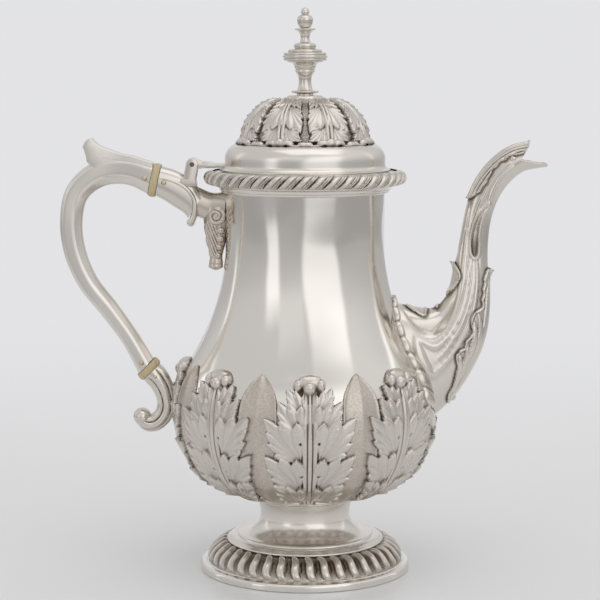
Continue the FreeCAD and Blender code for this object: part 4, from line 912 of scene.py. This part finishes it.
def drop_relief(u, v):
    x, y, z = drop.at(u, v)
    feather = 0.7 * (lobe(((x * 1.1 + z * 0.45) / 1.7) % 1.0, 0.5, 0.45) - 0.5) * (x < -45.0)
    relief = feather * ramp(v, 0.2, 0.3) * (1 - ramp(v, 0.76, 0.8))
    for east, high, size in HUSKS:
        relief = np.maximum(relief, dome(x, z, (east, high), size, size * 1.1, 1.1))
    return relief


cast("socket_leaf_drop", limb_mesh(drop, 110, 120, drop_relief),
     ["upper_socket_drop", "upper_socket_plate"], 60, dark_silver)

# %% Coil the volutes
turns = np.linspace(0, 1.7 * TURN, 60)
coil = 4.3 - 3.7 * turns / turns[-1]
spiral = np.column_stack((-46.0 - coil * np.cos(turns + 2.3), 185.2 + coil * np.sin(turns + 2.3)))
for name, side in (("volute_near", -5.1), ("volute_far", 5.1)):
    bm = rod(spiral, np.linspace(1.25, 0.95, 60), None, 120, 14)
    bmesh.ops.translate(bm, verts=bm.verts, vec=(0, side * MM, 0))
    cast(name, bm, (), 60, dark_silver)

# %% [markdown]
# ## The hinge
# Two fixed lugs stand on the socket with the lid's knuckle between them. The lid's
# strap runs from that knuckle to the shoulder of the lid and turns with the lid. All of
# them are plates cut to their side view, like the thumb rest. Pins, stud and nut stay as
# solids and only get their finish.

# %% Cut the hinge
LUG = [(-63.0, 202.4), (-56.6, 201.6), (-54.8, 211.8), (-61.2, 211.8, 3.2)]
for name, side in (("hinge_lug_near", -4.4), ("hinge_lug_far", 4.4)):
    show(name, plate(LUG, 1.6, 0.45, middle=side), cast_silver, "pot",
         ["hinge_lugs"] if side < 0 else (), 50)
FOOTING = [(-64.4, 200.6), (-55.6, 200.6), (-56.2, 203.4), (-63.8, 204.6)]
show("hinge_foot", plate(FOOTING, 6.3, 0.7), dark_silver, "pot", (), 50)
STRAP = [(-58.0, 208.6, 3.2), (-52.8, 209.7), (-36.0, 209.9), (-36.0, 212.2), (-46.0, 212.3),
         (-53.5, 213.4, 0.3), (-58.0, 215.0, 0.4)]
show("lid_strap", plate(STRAP, 2.5, 0.6), cast_silver, "lid", ["hinge_arm"], 50)

# %% Finish the solids that stay
KEPT = {"handle_pins": brass, "hinge_pin": pit_silver, "finial_stud": cast_silver,
        "finial_nut": cast_silver}
for node, finish in KEPT.items():
    for kept in bpy.data.objects[node].material_slots:
        kept.material = finish
print("kept as solids:", list(KEPT))

# %% [markdown]
# ## The spout
# The spout is cast in two halves as a swan's neck. Its near and far sides carry a band
# of reeds that sweeps down to the root, a slot stands below the beak, and the back of
# the bend is dished. All of that is relief on one limb, mirrored on its middle plane.

# %% Carve the spout
SPOUT = [(54, 108.3, 74.4, 66.9, 36), (68, 114.2, 66.6, 50.4, 30), (77.1, 121.1, 58.4, 37.8, 25.5),
         (82.8, 130.1, 50.4, 31.4, 22.5), (85.3, 141, 41.2, 25.8, 19.5),
         (86.25, 153.75, 28, 20.3, 16.5), (86.9, 163.5, 14.2, 16.3, 13.8),
         (88.25, 176.25, 6.2, 14, 12.5), (90.4, 188.75, 14.2, 14.2, 12.5),
         (94.1, 198.3, 25.5, 14.4, 13), (100.4, 207.25, 44.7, 14.4, 14),
         (109.6, 214.2, 61.2, 14.1, 14.8), (118, 216.2, 71.5, 13.8, 15),
         (126.5, 217.2, 80, 13.2, 15)]
spout = Limb(SPOUT, superoval(2.3))


def from_top(u):
    """0 on the side towards the pot, 1 on the underside."""
    return np.abs((u % 1.0) - 0.5) * 2


# %% Draw in the side view
def apart(x, z, start, end):
    (x0, z0), (x1, z1) = start, end
    share = ((x - x0) * (x1 - x0) + (z - z0) * (z1 - z0)) / ((x1 - x0) ** 2 + (z1 - z0) ** 2)
    share = np.clip(share, 0, 1)
    return np.hypot(x - x0 - share * (x1 - x0), z - z0 - share * (z1 - z0))


def stroke(x, z, points, half, high):
    """A rounded ridge along a drawn line, thin at both its ends."""
    line = smooth_path(points, 32)
    count = len(line) - 1
    ridge = np.zeros_like(x)
    for number, (start, end) in enumerate(zip(line, line[1:])):
        swell = math.sin(math.pi * (number + 0.5) / count) ** 0.4
        reach = apart(x, z, start, end) / (half * swell)
        ridge = np.maximum(ridge, high * swell * np.sqrt(np.clip(1 - reach ** 2, 0, 1)))
    return ridge


def patch(x, z, outline):
    """Millimetres from the edge of a drawn outline, below zero outside it."""
    ring = smooth_path(outline + outline[:1], 5 * len(outline))
    within = np.zeros(x.shape, bool)
    edge = np.full(x.shape, 99.0)
    for start, end in zip(ring, ring[1:]):
        edge = np.minimum(edge, apart(x, z, start, end))
        if start[1] != end[1]:
            level = start[0] + (end[0] - start[0]) * (z - start[1]) / (end[1] - start[1])
            within ^= ((start[1] > z) != (end[1] > z)) & (x < level)
    return edge * np.where(within, 1, -1)


# %% The lines of the spout
REEDS = [
    ([(104.6, 213), (99.7, 208.2), (95.5, 202), (92.4, 196.3), (89.2, 188.5), (85.8, 180)], 1, 0.8),
    ([(107, 211), (100.9, 206.2), (97.1, 200), (94.8, 193.2), (92, 185.5)], 1, 0.8),
    ([(84.8, 194), (83.2, 184), (81.4, 174), (80.2, 166), (80, 154)], 0.9, 0.6),
    ([(83.4, 178), (82.6, 166), (81.8, 157), (80.8, 149.5), (78.5, 139), (75, 130.9), (70.4, 124.4),
      (65.4, 121)], 1.5, 1.3),
    ([(85.2, 163), (84.2, 156), (83.2, 149), (81, 139), (77.2, 130), (71.9, 122.2), (66.6, 118.8),
      (61, 121.3), (56, 124.6)], 1.5, 1.3),
    ([(86.8, 162), (86, 150), (83.8, 139), (80.2, 129.2), (74.4, 120), (67.6, 111)], 1.5, 1.3),
    ([(88.4, 163.5), (88.2, 149), (86.8, 139), (83.5, 128.4), (78.1, 118.8), (71.3, 109.6),
      (64.6, 103.6)], 1.5, 1.6),
    ([(68, 104.6), (64.6, 105.2), (61.4, 109.4), (58.6, 116), (56.8, 123)], 2.6, 1.3)]
SLOT = [(93.6, 192), (89.6, 187), (86.6, 180.7), (85.3, 174.5), (85.1, 169), (86, 165),
        (87.7, 163.3), (89.2, 165), (89.8, 169), (89.7, 174.5), (90.4, 180.7), (92.2, 186.5),
        (94.6, 191.6)]
DISH = [(49, 138.6), (61, 133.4), (69.5, 137.4), (79.6, 146.5), (78.4, 139), (74.6, 131.2),
        (70.3, 125.2), (66.5, 122.2), (57, 125)]


def spout_relief(u, v):
    x, y, z = spout.at(u, v)
    relief = np.zeros_like(x)
    for points, half, high in REEDS:
        relief = np.maximum(relief, stroke(x, z, points, half, high))
    slot = patch(x, z, SLOT)
    rim = 0.7 * bell(slot, 0, 0.55)
    sunk = -1.6 * ramp(slot, 0.0, 1.4) * (1 - ramp(z, 178, 190)) + rim
    return blurred(relief + sunk, 2) - 2.2 * ramp(patch(x, z, DISH), 0, 5.5)


# %% Open the mouth
def cut_mouth(bm):
    """Two cuts meet at the corner of the mouth; what lies past both is taken away."""
    corner, lip, beak = (110.6, 214.2), (124.6, 211.3), (116.3, 224.7)
    sides = []

    def cut(place, normal, clear=False):
        bmesh.ops.bisect_plane(bm, geom=bm.verts[:] + bm.edges[:] + bm.faces[:], dist=1e-7,
                               plane_co=place, plane_no=normal, clear_outer=clear)

    def beyond(face):
        middle = np.array(face.calc_center_median())
        return all((middle - place) @ normal > 0 for place, normal in sides)

    for end in (lip, beak):
        run = np.array(end) - np.array(corner)
        normal = (-run[1], 0, run[0]) if end is lip else (run[1], 0, -run[0])
        place = (corner[0] * MM, 0, corner[1] * MM)
        cut(place, normal)
        sides.append((np.array(place), np.array(normal)))
    cut((lip[0] * MM, 0, 0), (1, 0, 0), True)
    gone = [face for face in bm.faces if beyond(face)]
    bmesh.ops.delete(bm, geom=gone, context="FACES")
    return bm


# %% [markdown]
# ## Leaves on the spout
# Four leaves clothe the spout: a ribbed hood over the beak, a smooth one on the back
# of the bend, a scalloped one below, and a leafy border where the root meets the belly.
# Each is a sheet laid on the limb and trimmed to its outline.

# %% Draw the outlines of the leaves
HOOD = [(118.5, 227), (113, 218), (107.6, 216.4), (104.8, 216), (102.6, 213.6), (100.8, 213.4),
        (98.3, 210.6), (97.2, 209.8), (95.2, 206.2), (94.4, 205.2), (92.9, 201.6), (91.9, 200.8),
        (89.9, 197.4), (88.6, 196.8), (86, 194.4), (82, 193), (79, 196), (84, 208), (95, 221),
        (106, 229)]
UNDER = [(98.4, 158), (93.7, 157.6), (92.8, 154.8), (92, 153.2), (92.3, 150.4), (91.4, 148),
         (91.8, 145), (90.8, 142.6), (91.3, 139), (89.6, 137.4), (87.4, 136.6), (85.8, 134.2),
         (85.2, 129.8), (86.2, 126.4), (84.9, 123.6), (82.8, 121.4), (81.7, 117.6), (79.6, 116.8),
         (77.8, 114.4), (77.6, 111.4), (78.4, 108.4), (77.8, 105), (76.2, 97.9), (73.6, 90.4),
         (74.8, 87.6), (78, 87.6), (84, 95), (95, 108), (101, 122), (103, 140), (102, 152)]
BACK = [(73, 164), (76.4, 162.6), (78.4, 159.6), (80.8, 154.2), (77.2, 147.8), (71.7, 141.4),
        (68, 137.2), (64, 139), (68, 148)]
ROOT = [(44, 146), (49.5, 141.4), (52, 138.8), (56.3, 136), (62.5, 133.6), (64, 138), (54, 146)]
RIBS = [
    [(95.8, 154), (94.6, 147), (94, 138), (92.6, 127), (89.5, 116.5), (84.5, 107), (79.5, 98)],
    [(89.4, 135), (90.4, 128), (88.6, 118), (84, 109), (79.3, 100.5)],
    [(86.8, 131.8), (87.6, 125), (86, 117), (82.3, 109), (78.6, 100.5)],
    [(83.8, 119.8), (83.4, 113), (80.8, 106), (77.9, 98.5)],
    [(79.6, 114.6), (80.1, 109), (78.8, 103), (76.4, 94.5)]]


# %% Cast the spout
def spout_dirt_and_shade(u, v):
    x, y, z = spout.at(u, v)
    # Painted shade and tarnish in the hollows of the relief.
    shade = hollow(spout_relief(u, v), 4, 0.6)
    # Painted shade inside the slot.
    slot = ramp(patch(x, z, SLOT), 0.2, 1.2) * (1 - ramp(z, 168, 180))
    shade = np.maximum(shade, 0.8 * slot)
    # A painted shadow along the outline of each leaf.
    for outline in (HOOD, UNDER, BACK, ROOT):
        shade = np.maximum(shade, 0.9 * bell(patch(x, z, outline), -0.4, 0.6))
    return shade


cast("spout_body", cut_mouth(limb_mesh(spout, 150, 300, spout_relief, False, spout_dirt_and_shade)),
     ["spout_near_half", "spout_far_half"], 70, wall=1.1)


# %% Lay a leaf on the spout
def spout_leaf(around, along, turn, part, relief):
    def lay(u, v):
        round_it = turn[0] + (turn[1] - turn[0]) * u
        v = part[0] + (part[1] - part[0]) * v
        x, y, z = spout.at(round_it, v)
        height = relief(from_top(round_it), v, x, z)
        lift = np.where(height > 0, height + np.minimum(spout_relief(round_it, v), 0.6), -0.4)
        x, y, z = spout.at(round_it, v, lift)
        stays = blurred(np.where(height > 0, 1.0, 0.0), 1) > 0
        # The recess number paints shade and tarnish into the hollows of the leaf.
        return x, y, z, hollow(lift, 6, 0.4), stays
    return draped(around, along, lay)


def hood(a, v, x, z):
    edge = patch(x, z, HOOD)
    ribs = lobe((a * 13 - v * 5) % 1.0, 0.5, 0.4)
    rolled = 0.5 * bell(edge, 0.5, 0.5)
    return np.where(edge > 0, 0.3 + 0.8 * ribs + rolled, -1.0)


def back_leaf(a, v, x, z):
    edge = np.maximum(patch(x, z, BACK), patch(x, z, ROOT))
    rim = 0.8 * bell(edge, 0.5, 0.55)
    tip = 2.6 * ramp(z, 155, 163) * (1 - ramp(a, 0.0, 0.14))
    return np.where(edge > 0, 0.35 + rim + tip, -1.0)


def under_leaf(a, v, x, z):
    edge = patch(x, z, UNDER)
    ribs = np.zeros_like(x)
    for points in RIBS:
        ribs = np.maximum(ribs, stroke(x, z, points, 1.6, 1.4))
    rolled = 0.9 * bell(edge, 0.6, 0.6)
    tip = 2.4 * ramp(z, 150, 158) * ramp(a, 0.86, 1.0)
    return np.where(edge > 0, 0.4 + np.maximum(ribs, rolled) + tip, -1.0)


# %% Cast the leaves
cast("beak_hood", cut_mouth(spout_leaf(120, 170, (0.16, 0.84), (0.66, 1.0), hood)),
     ["spout_hood"], 70)
cast("back_leaf", spout_leaf(120, 160, (0.22, 0.78), (0.0, 0.52), back_leaf),
     ["spout_upper_leaf"], 70)
cast("under_leaf", spout_leaf(140, 220, (-0.3, 0.3), (0.0, 0.52), under_leaf),
     ["spout_under_leaf"], 70)
cast("under_leaf_curl", ball((76.9, 0, 90.2), 2.1, (1, 1.7, 1)))
for name, side in (("mouth_curl_near", -6.7), ("mouth_curl_far", 6.7)):
    cast(name, ball((106.6, side, 214.8), 1.6, (1.1, 0.7, 1)))


# %% The leafy border at the root
# Each pair: how far up the belly's side, and half the border's width there.
BORDER = [(57, 12), (62, 26), (70, 30), (81, 29), (92, 28), (104, 26), (117, 22.5), (126, 16),
          (132, 6)]


def border_leaf(x, t):
    side = np.abs(x)
    width = np.interp(t, *zip(*BORDER))
    place = ((t - side * 0.5) / 10.0) % 1.0
    width = width * (0.9 + 0.1 * lobe(place, 0.45, 0.55))
    height = 0.8 + 1.5 * lobe(place, 0.45, 0.55) * ramp(side / width, 0.35, 0.7)
    height = 0.03 + height * ramp(width - side, 0.0, 1.8)
    return np.where((side < width) & (t > 57) & (t < 131), height, -1.0)


cast("root_border", belly_leaf(0.0, border_leaf, 32.0, 55.0, 133.0, 90, 130, False),
     ["spout_flange"], 75)

# %% [markdown]
# ## Camera, floor and light
# The pot stands on a pale sweep. The camera looks a little down along the Y axis with
# a long lens. Silver shows nothing but what it mirrors, so the studio is a grey tent
# with soft windows: a broad one to the right of the camera, a narrow one to the left,
# a dim one between, and two thin gaps at the sides that draw bright lines. Panels could
# stand round the pot, but a tent painted in the world needs no objects. One lamp above
# casts the shadow.

# %% Set the camera
lens = bpy.data.cameras.new("photo_lens")
lens.lens = 115.14
lens.sensor_width = 36.0
camera = link("photo_camera", lens)
camera.location = (-0.0026, -0.991, 0.264)
camera.rotation_euler = (math.radians(90 - 7.07), 0, 0)
bpy.context.scene.camera = camera
print("lens of", lens.lens, "mm at", list(camera.location))


# %% Mix the paper
def pale_paper():
    """Plain paper under the pot; it fades to a pale wall behind and a dim room in front."""
    paper = Finish("paper")
    paper.set(Base_Color=(0.86, 0.86, 0.865, 1), Roughness=0.28)
    where = paper.place()
    away = paper.node("ShaderNodeVectorMath", {"operation": "LENGTH"}, [where], "Value")
    east, north = [paper.node("ShaderNodeSeparateXYZ", {}, [where], axis) for axis in "XY"]
    aside = paper.node("ShaderNodeMath", {"operation": "ABSOLUTE"}, [east])
    seen, mirrored, through = [paper.node("ShaderNodeLightPath", {}, {}, ray) for ray in
                               ("Is Camera Ray", "Is Glossy Ray", "Is Transmission Ray")]
    rays = paper.limit(seen + mirrored + through)
    behind = paper.ramp(north - aside * 1.5, -0.35, 0.2)
    pale = paper.ramp(away, 0.05, 1.0) * behind * rays
    dim = paper.ramp(away, 0.3, 1.0) * (1 - behind) * rays
    skin = Wire(paper, paper.shader.outputs[0])
    for share, tone in ((pale, (0.77, 0.77, 0.785, 1)), (dim, (0.47, 0.47, 0.475, 1))):
        glow = paper.node("ShaderNodeEmission", {}, {"Color": tone})
        skin = paper.node("ShaderNodeMixShader", {}, {0: share, 1: skin, 2: glow})
    paper.feed(paper.nodes["Material Output"].inputs["Surface"], skin)
    return paper.material


# %% Lay the sweep
FLOOR_END = 3.0
BEND = 0.5
JUST_BELOW = 0.0002
side = [(-1.0, 0.0), (FLOOR_END, 0.0)]
side += [(FLOOR_END + BEND * math.sin(angle), BEND - BEND * math.cos(angle))
         for angle in np.linspace(0.1, math.pi / 2, 14)]
side += [(FLOOR_END + BEND, 1.4)]
bm = bmesh.new()
left, right = [[bm.verts.new((x, y, z - JUST_BELOW)) for y, z in side] for x in (-1.0, 1.0)]
for k in range(len(side) - 1):
    bm.faces.new((left[k], right[k], right[k + 1], left[k + 1]))
sweep = link("paper_sweep", smooth_mesh("paper_sweep", bm, pale_paper()))
print("sweep of", len(side), "rows")

# %% Hang the lamp
WIDE, DEEP = 1.5, 1.2
GLOW = 0.5
POT_MIDDLE = Vector((0, 0, 0.15))
light = bpy.data.lights.new("ceiling", "AREA")
light.shape = "RECTANGLE"
light.size, light.size_y = WIDE, DEEP
light.energy = GLOW * math.pi * WIDE * DEEP
bearing, rise = math.radians(20), math.radians(78)
flat = math.cos(rise)
way = Vector((math.sin(bearing) * flat, -math.cos(bearing) * flat, math.sin(rise)))
lamp = link("ceiling", light)
lamp.location = POT_MIDDLE + way * 1.5
lamp.rotation_euler = way.to_track_quat("Z", "Y").to_euler()
print("ceiling lamp of", round(light.energy, 2), "watts")

# %% Paint the tent
world = bpy.data.worlds.new("tent")
world.use_nodes = True
bpy.context.scene.world = world
tent = Board(world.node_tree)
way = tent.place("Generated")
east, north, up = [tent.node("ShaderNodeSeparateXYZ", {}, [way], axis) for axis in "XYZ"]
turn = tent.node("ShaderNodeMath", {"operation": "ARCTAN2"}, [east, north * -1.0])


def window(left, right, soft=0.06, lean=0.0):
    """1 between two bearings, in radians to the right of the camera, with soft edges."""
    across = turn - up * lean
    opens = tent.ramp(across, left - soft, left + soft)
    return opens * (1 - tent.ramp(across, right - soft, right + soft))


def band(low, high, soft=0.1):
    """1 between two heights, as sines of the angle up, with soft edges."""
    return tent.ramp(up, low - soft, low + soft) * (1 - tent.ramp(up, high - soft, high + soft))


# %% Light the tent
cloth = 0.4 + 0.1 * tent.ramp(up, -0.14, -0.05) + 0.17 * tent.ramp(up, -0.06, 0.32)
opened = tent.ramp(up, -0.21, -0.05)
right_window = window(-0.06, 0.8, 0.06, 0.3) * opened * (0.5 - 0.42 * tent.ramp(up, 0.5, 0.75))
left_window = window(-0.98, -0.68, 0.05) * opened * (0.54 - 0.54 * tent.ramp(up, 0.28, 0.5))
between = window(-0.7, 0.0) * band(0.3, 0.6, 0.1) * 0.15
east_wall = window(0.6, 2.2, 0.3) * band(0.4, 0.9, 0.15) * 0.12
gaps = (window(1.9, 1.98, 0.04) + window(-2.03, -1.93, 0.04)) * band(0.0, 0.5) * 0.6
glow = cloth + right_window + left_window + between + east_wall + gaps
background = world.node_tree.nodes["Background"]
tent.feed(background.inputs["Color"], glow)
bpy.context.scene.view_settings.view_transform = "Standard"
print("tent of", len(tent.nodes), "nodes")
